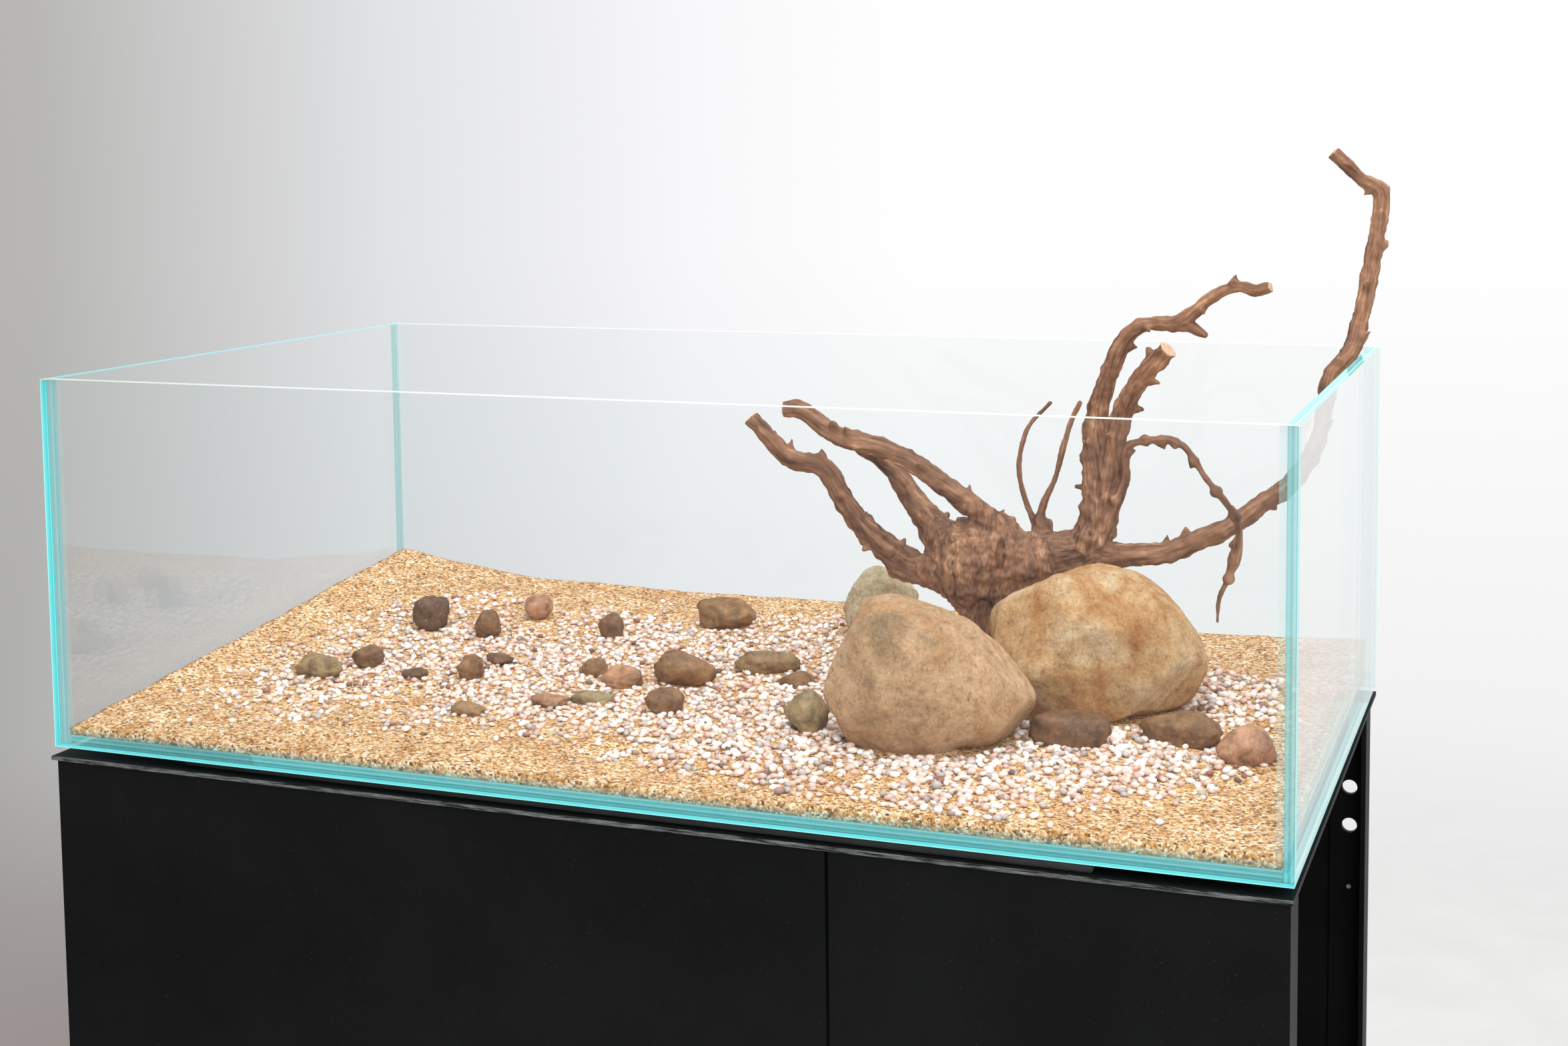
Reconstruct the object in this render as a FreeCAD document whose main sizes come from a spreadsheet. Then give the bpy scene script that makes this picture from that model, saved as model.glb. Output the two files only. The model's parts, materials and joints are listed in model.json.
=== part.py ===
import FreeCAD, Part
import Sketcher
import math
import os
import re

# A rimless glass aquarium with a dry hardscape, on a foam mat and a black sheet-steel stand.
# Row frame: origin on the floor under the middle of the tank, +X right, +Y back, +Z up, millimetres.

SIZES = {
    # tank
    "tank_length": 1200,
    "tank_depth": 650,
    "tank_height": 365,
    "glass_thickness": 10,
    "joint_film": 1,
    "seal_leg": 6,
    # foam mat, a little short of the tank and laid slightly askew
    "mat_length": 895,
    "mat_depth": 640,
    "mat_thickness": 8,
    "mat_turn": 0.55,
    "mat_offset": -4.5,
    # stand
    "stand_height": 750,
    "plate_thickness": 4,
    "plate_lip": 6,
    "cabinet_inset": 2.5,
    "panel_gap": 1,
    "tube_side": 30,
    "tube_wall": 2,
    "angle_leg": 40,
    "angle_wall": 5,
    "sheet_wall": 1.5,
    "fascia_depth": 24,
    "cross_rail_place": 200,
    # pair of tie holes near the top of each back post
    "tie_hole_radius": 8,
    "tie_hole_edge": 20,
    "tie_hole_drop": 104,
    "tie_hole_pitch": 42,
    # back panel screws
    "screw_radius": 2.5,
    "screw_head_radius": 4.75,
    "screw_head_height": 2.8,
    "screw_length": 6,
    "screw_margin": 110,
    # door
    "door_width": 386,
    "door_depth": 16,
    "seam_gap": 3,
    "top_gap": 2,
    "pivot_inset": 12,
    "pivot_setback": 8,
    "pin_radius": 3,
    "running_gap": 0.05,
    "bush_wall": 1.5,
    "bush_flange": 1,
    "arm_thickness": 3,
    "arm_width": 12,
    "bracket_drop": 34,
    "catch_width": 26,
    "catch_height": 46,
    "catch_air": 0.5,
    "catch_drop": 130,
    # levelling feet
    "foot_height": 30,
    "foot_inset": 35,
    "foot_radius": 25,
    "foot_thickness": 12,
    "stud_radius": 5,
    "stud_seat": 4,
    "stud_length": 48,
    "nut_radius": 9.8,
    "nut_thickness": 6,
    # sand: its depth over the base glass at the four corners
    "sand_front_left": 9,
    "sand_back_left": 68,
    "sand_front_right": 11,
    "sand_back_right": 38,
    "sand_middle_back": 43,
    "pebble_depth": 6,
    "pebble_end_margin": 45,
    "pebble_front_margin": 70,
    "pebble_back_margin": 90,
    # stones keep their size down to a tank of this size, and shrink with a smaller one
    "layout_length": 1200,
    "layout_depth": 650,
}

os.makedirs("parts", exist_ok=True)
doc = FreeCAD.newDocument("aquarium_on_stand")

sheet = doc.addObject("Spreadsheet::Sheet", "sizes")
for row, (alias, number) in enumerate(SIZES.items(), start=1):
    sheet.set(f"A{row}", alias.replace("_", " "))
    sheet.set(f"B{row}", str(number))
    sheet.setAlias(f"B{row}", alias)
doc.recompute()

probe = doc.addObject("App::FeaturePython", "probe")
probe.addProperty("App::PropertyFloat", "reading")

nodes = {}


def formula(words):
    """A formula in plain words, such as 'stand_height - tube_side', with its names sent to the sheet."""
    return re.sub(r"[a-z]\w*", lambda name: "sizes." + name.group(), str(words))


def number(words):
    """The value of such a formula."""
    probe.setExpression("reading", formula(words))
    probe.recompute()
    return probe.reading


def place(thing, x, y, z):
    for letter, words in zip("xyz", (x, y, z)):
        thing.setExpression(f"Placement.Base.{letter}", formula(words))
    return thing


def node(name, thing):
    """Names a finished sub-part: its label is its node's name."""
    thing.Label = name
    nodes[name] = thing
    return thing


def box(size, at):
    """A rectangular piece from its three sizes and its lowest corner."""
    block = doc.addObject("Part::Box", "block")
    for edge, words in zip(("Length", "Width", "Height"), size):
        block.setExpression(edge, formula(words))
    return place(block, *at)


TURNS = {
    "X": FreeCAD.Rotation(FreeCAD.Vector(0, 1, 0), 90),
    "Y": FreeCAD.Rotation(FreeCAD.Vector(1, 0, 0), -90),
    "Z": FreeCAD.Rotation(),
}


def rod(radius, length, at, axis="Z"):
    """A round piece that starts at a point and runs along a positive axis."""
    cylinder = doc.addObject("Part::Cylinder", "rod")
    cylinder.setExpression("Radius", formula(radius))
    cylinder.setExpression("Height", formula(length))
    cylinder.Placement.Rotation = TURNS[axis]
    return place(cylinder, *at)


def group(things):
    several = doc.addObject("Part::Compound", "group")
    several.Links = things
    return several


def cut(base, tools):
    removal = doc.addObject("Part::Cut", "cut")
    removal.Base = base
    removal.Tool = tools[0] if len(tools) == 1 else group(tools)
    return removal


def fuse(things):
    union = doc.addObject("Part::MultiFuse", "union")
    union.Shapes = things
    return union


def plane_of(body, role):
    return next(feature for feature in body.Origin.OriginFeatures if feature.Role == role)


def sketch_on(body, role, loops):
    """A sketch of closed outlines, each corner tied to the sheet by its two formulas."""
    sketch = body.newObject("Sketcher::SketchObject", "outline")
    sketch.AttachmentSupport = [(plane_of(body, role), "")]
    sketch.MapMode = "FlatFace"
    for corners in loops:
        points = [FreeCAD.Vector(number(across), number(up), 0) for across, up in corners]
        first = sketch.GeometryCount
        count = len(points)
        for i in range(count):
            sketch.addGeometry(Part.LineSegment(points[i], points[(i + 1) % count]))
        for i in range(count):
            sketch.addConstraint(Sketcher.Constraint("Coincident", first + i, 2, first + (i + 1) % count, 1))
        for i in range(count):
            tie_corner(sketch, first + i, points[i], corners[i])
    return sketch


def tie_corner(sketch, edge, point, corner):
    """Fixes a corner's distance from the sketch's two axes."""
    kinds = (("DistanceX", point.x, corner[0], -2), ("DistanceY", point.y, corner[1], -1))
    for kind, distance, words, axis in kinds:
        if abs(distance) < 1e-9:
            sketch.addConstraint(Sketcher.Constraint("PointOnObject", edge, 1, axis))
            continue
        index = sketch.addConstraint(Sketcher.Constraint(kind, -1, 1, edge, 1, distance))
        sketch.setExpression(f"Constraints[{index}]", formula(words))


def prism(role, loops, length, at):
    """An extruded piece: outlines on one of its own planes, padded along the positive axis."""
    body = doc.addObject("PartDesign::Body", "prism")
    pad = body.newObject("PartDesign::Pad", "pad")
    pad.Profile = sketch_on(body, role, loops)
    pad.setExpression("Length", formula(length))
    pad.Reversed = role == "XZ_Plane"
    body.Tip = pad
    return place(body, *at)


def rectangle(x0, y0, x1, y1):
    return [(x0, y0), (x1, y0), (x1, y1), (x0, y1)]


# ---- planes that several pieces share, as formulas ----

TANK_BOTTOM = "(stand_height + mat_thickness)"
BASE_TOP = "(stand_height + mat_thickness + glass_thickness)"
INNER_X = "(tank_length / 2 - glass_thickness)"
INNER_Y = "(tank_depth / 2 - glass_thickness)"
PLATE_UNDER = "(stand_height - plate_thickness)"
CABINET_X = "(tank_length / 2 - cabinet_inset)"
POST_X = "(tank_length / 2 - cabinet_inset - sheet_wall - panel_gap)"
FACE_Y = "(tank_depth / 2)"
FRAME_FRONT = "(fascia_depth - tank_depth / 2)"
FRAME_BACK = "(tank_depth / 2 - sheet_wall)"
RAIL_X = f"({POST_X} - angle_wall)"
RAIL_FRONT = f"({FRAME_FRONT} + angle_wall)"
RAIL_BACK = f"({FRAME_BACK} - angle_wall)"
TOP_RAIL_Z = f"({PLATE_UNDER} - tube_side)"
DOOR_LEFT = f"({CABINET_X} - door_width)"
DOOR_HEIGHT = f"({PLATE_UNDER} - top_gap - foot_height)"
FASCIA_RIGHT = f"({DOOR_LEFT} - seam_gap)"
PIVOT_X = f"({DOOR_LEFT} + pivot_inset)"
PIVOT_Y = "(pivot_setback - tank_depth / 2)"


# ---- glass tank ----

def glass_tank():
    film = "joint_film"
    inner_length = "(tank_length - 2 * glass_thickness - 2 * joint_film)"
    inner_depth = "(tank_depth - 2 * glass_thickness - 2 * joint_film)"
    node("base_glass", box(
        (inner_length, inner_depth, "glass_thickness"),
        (f"-{inner_length} / 2", f"-{inner_depth} / 2", TANK_BOTTOM)))
    for name, y in (("front_glass", "-tank_depth / 2"), ("back_glass", INNER_Y)):
        node(name, box(("tank_length", "glass_thickness", "tank_height"),
                       ("-tank_length / 2", y, TANK_BOTTOM)))
    for name, x in (("left_glass", "-tank_length / 2"), ("right_glass", INNER_X)):
        node(name, box(("glass_thickness", inner_depth, "tank_height"),
                       (x, f"-{inner_depth} / 2", TANK_BOTTOM)))

    # Silicone: a thin film between the edges that meet, and a bead in each inner corner.
    long_seals = []
    for side in (-1, 1):
        outline = [
            (0, 0), (f"{-side} * {film}", 0), (f"{-side} * {film}", "glass_thickness"),
            (f"{-side} * seal_leg", "glass_thickness"), (0, "glass_thickness + seal_leg")]
        bar = prism("YZ_Plane", [outline], "tank_length",
                    ("-tank_length / 2", f"{side} * {INNER_Y}", TANK_BOTTOM))
        long_seals.append(cut(bar, [nodes["left_glass"], nodes["right_glass"]]))
    short_seals = []
    for side in (-1, 1):
        outline = [
            (0, 0), (f"{-side} * {film}", 0), (f"{-side} * {film}", "glass_thickness"),
            (f"{-side} * seal_leg", "glass_thickness"), (0, "glass_thickness + seal_leg")]
        bar = prism("XZ_Plane", [outline], f"2 * {INNER_Y}",
                    (f"{side} * {INNER_X}", f"-{INNER_Y}", TANK_BOTTOM))
        short_seals.append(cut(bar, long_seals))
    node("base_seals", group(long_seals + short_seals))

    corner_seals = []
    for side in (-1, 1):
        for end in (-1, 1):
            outline = [
                (0, 0), (f"{-side} * (glass_thickness + seal_leg)", 0),
                (f"{-side} * glass_thickness", f"{-end} * seal_leg"),
                (f"{-side} * glass_thickness", f"{-end} * {film}"), (0, f"{-end} * {film}")]
            bar = prism("XY_Plane", [outline], "tank_height",
                        (f"{side} * tank_length / 2", f"{end} * {INNER_Y}", TANK_BOTTOM))
            corner_seals.append(cut(bar, [nodes["base_seals"], nodes["base_glass"]]))
    node("corner_seals", group(corner_seals))


def foam_mat():
    mat = box(("mat_length", "mat_depth", "mat_thickness"), (0, 0, "stand_height"))
    turn = math.radians(number("mat_turn"))
    mat.Placement.Rotation = FreeCAD.Rotation(FreeCAD.Vector(0, 0, 1), -number("mat_turn"))
    # The mat turns about its own middle, so its corner moves by the turned half diagonal.
    cosine, sine = f"{math.cos(turn):.8f}", f"{math.sin(turn):.8f}"
    place(mat,
          f"mat_offset - mat_length / 2 * {cosine} - mat_depth / 2 * {sine}",
          f"mat_length / 2 * {sine} - mat_depth / 2 * {cosine}",
          "stand_height")
    node("cushion_mat", mat)


# ---- steel frame ----

def tube_along(axis, length, at):
    """A square tube from its lowest corner along an axis."""
    role = {"X": "YZ_Plane", "Y": "XZ_Plane", "Z": "XY_Plane"}[axis]
    outer = rectangle(0, 0, "tube_side", "tube_side")
    inner = rectangle("tube_wall", "tube_wall", "tube_side - tube_wall", "tube_side - tube_wall")
    return prism(role, [outer, inner], length, at)


def foot_places():
    """Each levelling foot's name and middle: three under the front rail and three under the back rail."""
    rows = {"front": f"{RAIL_FRONT} + tube_side / 2", "back": f"{RAIL_BACK} - tube_side / 2"}
    columns = {"left": f"foot_inset - {CABINET_X}", "middle": 0, "right": f"{CABINET_X} - foot_inset"}
    for depth, y in rows.items():
        for side, x in columns.items():
            yield f"{depth}_{side}", x, y


def steel_frame():
    rail_length = f"2 * {RAIL_X}"
    side_length = f"({RAIL_BACK} - {RAIL_FRONT} - 2 * tube_side)"
    levels = (("top", TOP_RAIL_Z), ("bottom", "foot_height"))
    for level, z in levels:
        for name, y in (("front", RAIL_FRONT), ("back", f"{RAIL_BACK} - tube_side")):
            rail = tube_along("X", rail_length, (f"-{RAIL_X}", y, z))
            if level == "bottom":
                holes = [rod("stud_radius + 10 * running_gap", "2 * tube_wall",
                             (foot_x, foot_y, "foot_height - tube_wall / 2"))
                         for foot, foot_x, foot_y in foot_places() if foot.startswith(name)]
                rail = cut(rail, holes)
            node(f"{name}_{level}_rail", rail)
        for name, x in (("left", f"-{RAIL_X}"), ("right", f"{RAIL_X} - tube_side")):
            node(f"{name}_{level}_rail", tube_along("Y", side_length, (x, f"{RAIL_FRONT} + tube_side", z)))
    cross = []
    for side in (-1, 1):
        x = f"{side} * cross_rail_place - tube_side / 2"
        cross.append(tube_along("Y", side_length, (x, f"{RAIL_FRONT} + tube_side", TOP_RAIL_Z)))
    node("cross_rails", group(cross))
    node("top_plate", box(("tank_length", "tank_depth + 2 * plate_lip", "plate_thickness"),
                          ("-tank_length / 2", "-tank_depth / 2 - plate_lip", PLATE_UNDER)))


def tie_holes(side):
    """The two holes through a back post and the back panel, wide enough to run past both."""
    x = f"{side} * ({POST_X} - tie_hole_edge)"
    y = f"{FRAME_BACK} - 2 * angle_wall"
    heights = ("stand_height - tie_hole_drop", "stand_height - tie_hole_drop - tie_hole_pitch")
    return [rod("tie_hole_radius", "4 * angle_wall", (x, y, z), "Y") for z in heights]


def screw_places():
    """Back panel screws: three up each back post, the tie holes' own place left free."""
    span = "(stand_height - 2 * screw_margin - tie_hole_drop)"
    for x in (f"tie_hole_edge - {POST_X}", 0, f"{POST_X} - tie_hole_edge"):
        for step in range(3):
            yield x, f"screw_margin + {step} * {span} / 2"


def screw_holes():
    return [rod("screw_radius", "4 * angle_wall", (x, f"{FRAME_BACK} - 2 * angle_wall", z), "Y")
            for x, z in screw_places()]


def posts():
    height = f"({PLATE_UNDER} - foot_height)"
    for name, side in (("left", -1), ("right", 1)):
        for depth, y, inward in (("front", FRAME_FRONT, 1), ("back", FRAME_BACK, -1)):
            outline = [
                (0, 0), (f"{-side} * angle_leg", 0), (f"{-side} * angle_leg", f"{inward} * angle_wall"),
                (f"{-side} * angle_wall", f"{inward} * angle_wall"),
                (f"{-side} * angle_wall", f"{inward} * angle_leg"), (0, f"{inward} * angle_leg")]
            post = prism("XY_Plane", [outline], height, (f"{side} * {POST_X}", y, "foot_height"))
            if depth == "back":
                post = cut(post, tie_holes(side) + screw_holes())
            node(f"{depth}_{name}_post", post)
    middle = f"({TOP_RAIL_Z} - foot_height - tube_side)"
    node("front_middle_post", tube_along(
        "Z", middle, (f"{FASCIA_RIGHT} - sheet_wall", FRAME_FRONT, "foot_height + tube_side")))
    node("back_middle_post", cut(
        tube_along("Z", middle, ("-tube_side / 2", f"{FRAME_BACK} - tube_side", "foot_height + tube_side")),
        screw_holes()))


# ---- sheet panels ----

def tray(width, height, depth, at, open_left=False):
    """A folded sheet panel that stands upright: its face to the front, its edges turned back."""
    body = doc.addObject("PartDesign::Body", "tray")
    pad = body.newObject("PartDesign::Pad", "pad")
    pad.Profile = sketch_on(body, "XZ_Plane", [rectangle(0, 0, width, height)])
    pad.setExpression("Length", formula(depth))
    pad.Reversed = True
    body.Tip = pad
    doc.recompute()
    left = 0 if open_left else "sheet_wall"
    hollow = rectangle(left, "sheet_wall", f"{width} - sheet_wall", f"{height} - sheet_wall")
    sketch = sketch_on(body, "XZ_Plane", [hollow])
    sketch.setExpression("AttachmentOffset.Base.z", formula("-sheet_wall"))
    pocket = body.newObject("PartDesign::Pocket", "pocket")
    pocket.Profile = sketch
    pocket.setExpression("Length", formula(depth))
    body.Tip = pocket
    doc.recompute()
    if pocket.Shape.Volume > 0.9 * pad.Shape.Volume:
        pocket.Reversed = True
        doc.recompute()
    return place(body, *at)


def panels():
    fascia_width = f"({FASCIA_RIGHT} + {CABINET_X})"
    node("front_panel", tray(fascia_width, DOOR_HEIGHT, "fascia_depth",
                             (f"-{CABINET_X}", f"-{FACE_Y}", "foot_height")))
    node("left_side_panel", box(
        ("sheet_wall", f"{FRAME_BACK} - {FRAME_FRONT}", f"{PLATE_UNDER} - foot_height"),
        (f"-{POST_X} - sheet_wall", FRAME_FRONT, "foot_height")))
    back_sheet = box((f"2 * {POST_X}", "sheet_wall", f"{PLATE_UNDER} - foot_height"),
                     (f"-{POST_X}", FRAME_BACK, "foot_height"))
    node("back_panel", cut(back_sheet, tie_holes(-1) + tie_holes(1) + screw_holes()))
    floor = box((f"2 * {RAIL_X}", f"{RAIL_BACK} - {RAIL_FRONT}", "sheet_wall"),
                (f"-{RAIL_X}", RAIL_FRONT, "foot_height + tube_side"))
    notch_side = "(tube_side + 2 * panel_gap)"
    notch = (notch_side, notch_side, "4 * sheet_wall")
    notch_z = "foot_height + tube_side - sheet_wall"
    notches = [
        box(notch, (f"{FASCIA_RIGHT} - sheet_wall - panel_gap", f"{FRAME_FRONT} - panel_gap", notch_z)),
        box(notch, (f"-{notch_side} / 2", f"{FRAME_BACK} - tube_side - panel_gap", notch_z))]
    node("floor_panel", cut(floor, notches))

    screws = []
    for x, z in screw_places():
        head = rod("screw_head_radius", "screw_head_height", (x, FACE_Y, z), "Y")
        shank = rod("screw_radius", "screw_length + screw_head_height",
                    (x, f"{FACE_Y} - screw_length", z), "Y")
        screws.append(fuse([head, shank]))
    node("back_panel_screws", group(screws))


# ---- door on its pivots ----

def door():
    corner = (DOOR_LEFT, f"-{FACE_Y}", "foot_height")
    face = tray("door_width", DOOR_HEIGHT, "door_depth", corner, open_left=True)
    door_top = f"(foot_height + {DOOR_HEIGHT})"
    hole = [rod("pin_radius + running_gap + bush_wall", "4 * sheet_wall", (PIVOT_X, PIVOT_Y, z))
            for z in ("foot_height - sheet_wall", f"{door_top} - 3 * sheet_wall")]
    node("front_door", cut(face, hole))

    bushes, pins, brackets = [], [], []
    for end in (-1, 1):
        # Heights are measured inward from the door's top edge (end = 1) or bottom edge (end = -1).
        edge = door_top if end == 1 else "foot_height"

        def inward(depth, tall, edge=edge, end=end):
            """The lowest point of a piece that is 'tall' and starts 'depth' in from the door's edge."""
            return f"{edge} - {depth} - {tall}" if end == 1 else f"{edge} + {depth}"

        flange_depth = "sheet_wall"
        bush_tall = "(sheet_wall + bush_flange)"
        sleeve = rod("pin_radius + running_gap + bush_wall", bush_tall,
                     (PIVOT_X, PIVOT_Y, inward(0, bush_tall)))
        flange = rod("pin_radius + 2 * bush_wall", "bush_flange",
                     (PIVOT_X, PIVOT_Y, inward(flange_depth, "bush_flange")))
        bore = rod("pin_radius + running_gap", f"3 * {bush_tall}",
                   (PIVOT_X, PIVOT_Y, inward(f"(-{bush_tall})", f"(3 * {bush_tall})")))
        bushes.append(cut(fuse([sleeve, flange]), [bore]))

        arm_depth = f"({bush_tall} + 4 * running_gap)"
        pin_tall = f"({arm_depth} + 2 * arm_thickness - 10 * running_gap)"
        pin = rod("pin_radius", pin_tall, (PIVOT_X, PIVOT_Y, inward("(10 * running_gap)", pin_tall)))
        pins.append(pin)

        reach = f"({FRAME_FRONT} - {PIVOT_Y})"
        left = f"{PIVOT_X} - arm_width / 6"
        arm_z = inward(arm_depth, "arm_thickness")
        boss = rod("2 * pin_radius", "arm_thickness", (PIVOT_X, PIVOT_Y, arm_z))
        arm = box(("arm_width", reach, "arm_thickness"), (left, PIVOT_Y, arm_z))
        wall = box(("arm_width", "arm_thickness", "bracket_drop"),
                   (left, f"{FRAME_FRONT} - arm_thickness", inward(arm_depth, "bracket_drop")))
        brackets.append(cut(fuse([boss, arm, wall]), [pin]))
    node("hinge_bushes", group(bushes))
    node("hinge_pins", group(pins))
    node("hinge_brackets", group(brackets))

    # A magnet on the right front post meets a steel strike inside the door's free edge.
    strike_y = "(sheet_wall - tank_depth / 2)"
    catch_y = f"({strike_y} + sheet_wall + catch_air)"
    catch_x = f"({POST_X} - angle_leg / 2 - catch_width / 2)"
    catch_z = f"({door_top} - catch_drop)"
    node("catch_strike", box(("catch_width", "sheet_wall", "catch_height"), (catch_x, strike_y, catch_z)))
    node("magnetic_catch", box(("catch_width", f"{FRAME_FRONT} - {catch_y}", "catch_height"),
                               (catch_x, catch_y, catch_z)))


# ---- levelling feet ----

def hex_nut(at):
    nut = doc.addObject("Part::Prism", "nut")
    nut.Polygon = 6
    nut.setExpression("Circumradius", formula("nut_radius"))
    nut.setExpression("Height", formula("nut_thickness"))
    place(nut, *at)
    x, y, z = at
    return cut(nut, [rod("stud_radius + running_gap", "3 * nut_thickness", (x, y, f"{z} - nut_thickness"))])


def feet():
    lock_nuts, weld_nuts = [], []
    for name, x, y in foot_places():
        stud = rod("stud_radius", "stud_length", (x, y, "stud_seat"))
        puck = rod("foot_radius", "foot_thickness", (x, y, 0))
        seat = rod("stud_radius", "foot_thickness", (x, y, "stud_seat"))
        node(f"foot_stud_{name}", stud)
        node(f"foot_base_{name}", cut(puck, [seat]))
        lock_nuts.append(hex_nut((x, y, "foot_height - nut_thickness")))
        weld_nuts.append(hex_nut((x, y, "foot_height + tube_wall")))
    node("foot_lock_nuts", group(lock_nuts))
    node("foot_weld_nuts", group(weld_nuts))


# ---- sand, stones and wood ----

LAYOUT_SCALE = min(1, number("tank_length / layout_length"), number("tank_depth / layout_depth"))
LAYOUT_SHIFT = number("tank_length / 2") - LAYOUT_SCALE * number("layout_length / 2")


def sand_sections():
    """Depth of sand at the front, in the middle and at the back, at stations from left to right."""
    return (
        (f"-{INNER_X}", "sand_front_left", "0.5 * sand_back_left", "sand_back_left"),
        ("-0.3 * tank_length / 2", "sand_front_left", "0.5 * sand_middle_back", "sand_middle_back"),
        ("0.5 * tank_length / 2", "sand_front_right", "0.55 * sand_back_right", "sand_back_right"),
        (INNER_X, "sand_front_right", "0.55 * sand_back_right", "sand_back_right"),
    )


def sand_height(x, y):
    """How high the sand's surface lies at a place, in row coordinates."""
    inner_y = number(INNER_Y)
    stations = [[number(words) for words in section] for section in sand_sections()]
    for left, right in zip(stations, stations[1:]):
        if x <= right[0] or right is stations[-1]:
            share = (x - left[0]) / (right[0] - left[0])
            front, middle, back = (a + share * (b - a) for a, b in zip(left[1:], right[1:]))
            break
    if y < 0:
        depth = middle + (middle - front) * y / inner_y
    else:
        depth = middle + (back - middle) * y / inner_y
    return number(BASE_TOP) + depth


def sand_loft(extra):
    """The heap of sand between the panes, raised by an extra depth."""
    body = doc.addObject("PartDesign::Body", "sand")
    sketches = []
    for station, front, middle, back in sand_sections():
        outline = [
            (f"-{INNER_Y}", 0), (INNER_Y, 0), (INNER_Y, f"{back} + {extra}"),
            (0, f"{middle} + {extra}"), (f"-{INNER_Y}", f"{front} + {extra}")]
        sketch = sketch_on(body, "YZ_Plane", [outline])
        sketch.setExpression("AttachmentOffset.Base.z", formula(station))
        sketches.append(sketch)
    loft = body.newObject("PartDesign::AdditiveLoft", "loft")
    loft.Profile = sketches[0]
    loft.Sections = sketches[1:]
    loft.Ruled = True
    body.Tip = loft
    return place(body, 0, 0, BASE_TOP)


def solid_of(faces):
    """A closed solid from flat faces given as lists of corners."""
    shell = Part.Shell([Part.Face(Part.makePolygon(face + face[:1])) for face in faces])
    solid = Part.Solid(shell)
    if solid.Volume < 0:
        solid.reverse()
    return solid


def skin(rings):
    """The solid whose skin runs from ring to ring of corners, in triangles, with flat ends."""
    faces = [rings[0][::-1], rings[-1]]
    for lower, upper in zip(rings, rings[1:]):
        for i, corner in enumerate(lower):
            j = (i + 1) % len(lower)
            faces.append([corner, lower[j], upper[j]])
            faces.append([corner, upper[j], upper[i]])
    return solid_of(faces)


STONE_SIDES = 12
STONE_PROFILE = ((0.0, 0.62), (0.2, 0.92), (0.45, 1.0), (0.7, 0.86), (0.9, 0.52), (1.0, 0.22))


def stone(length, width, height, x, y, turn, sunk):
    """A rounded stone: its sizes, the place of its middle in the standard layout, and how deep it sits."""
    scale = LAYOUT_SCALE
    centre_x = x * number("layout_length / 2") * scale + LAYOUT_SHIFT
    centre_y = y * number("layout_depth / 2") * scale
    low = sand_height(centre_x, centre_y) - sunk * height * scale
    rings = []
    for share, fullness in STONE_PROFILE:
        ring = []
        for side in range(STONE_SIDES):
            angle = 2 * math.pi * side / STONE_SIDES
            along = fullness * length * scale / 2 * math.cos(angle)
            across = fullness * width * scale / 2 * math.sin(angle)
            ring.append(FreeCAD.Vector(
                centre_x + along * math.cos(turn) - across * math.sin(turn),
                centre_y + along * math.sin(turn) + across * math.cos(turn),
                low + share * height * scale))
        rings.append(ring)
    return skin(rings)


# length, width, height, then the middle's place from -1 to 1 along the layout and front to back,
# the turn in radians and the share of its height that is in the sand. The layout keeps its distance
# from the right pane.
BOULDERS = {
    "front_boulder": (204, 130, 156, 0.398, -0.366, 0.25, 0.08),
    "right_boulder": (216, 142, 160, 0.606, 0.04, 0.25, 0.08),
    "rear_boulder": (88, 74, 90, 0.146, 0.602, 0.25, 0.1),
}
RIVER_STONES = {
    "river_stones_left": (
        (42, 30, 42, -0.686, 0.253, 0.5, 0.2),
        (30, 26, 30, -0.531, 0.495, 0.2, 0.2),
        (30, 24, 32, -0.564, 0.238, 0.1, 0.2),
        (34, 26, 26, -0.678, -0.184, 0.4, 0.2),
        (30, 24, 15, -0.462, -0.019, 0, 0.3),
        (28, 22, 15, -0.561, -0.247, 0, 0.3),
        (50, 34, 26, -0.738, -0.316, -0.1, 0.25),
        (30, 28, 28, -0.47, -0.18, 0.3, 0.2),
        (34, 26, 17, -0.373, -0.518, 0, 0.3),
    ),
    "river_stones_middle": (
        (28, 24, 34, -0.34, 0.359, 0.2, 0.2),
        (70, 46, 40, -0.158, 0.591, 0.1, 0.2),
        (32, 26, 22, -0.271, -0.038, -0.2, 0.2),
        (48, 34, 26, -0.193, -0.117, 0.15, 0.2),
        (60, 46, 40, -0.094, -0.041, 0.2, 0.15),
        (64, 42, 32, 0.02, 0.14, 0.1, 0.2),
        (38, 32, 34, -0.065, -0.328, 0.4, 0.2),
        (42, 30, 19, -0.201, -0.302, 0, 0.3),
        (38, 28, 18, -0.263, -0.369, 0.2, 0.3),
        (38, 30, 22, 0.094, 0.032, 0.3, 0.3),
        (42, 38, 46, 0.195, -0.375, 0.1, 0.15),
    ),
    "river_stones_right": (
        (78, 44, 40, 0.613, -0.27, 0.1, 0.2),
        (76, 42, 36, 0.769, -0.16, -0.05, 0.2),
        (52, 40, 38, 0.875, -0.269, 0.3, 0.2),
    ),
}

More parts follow.
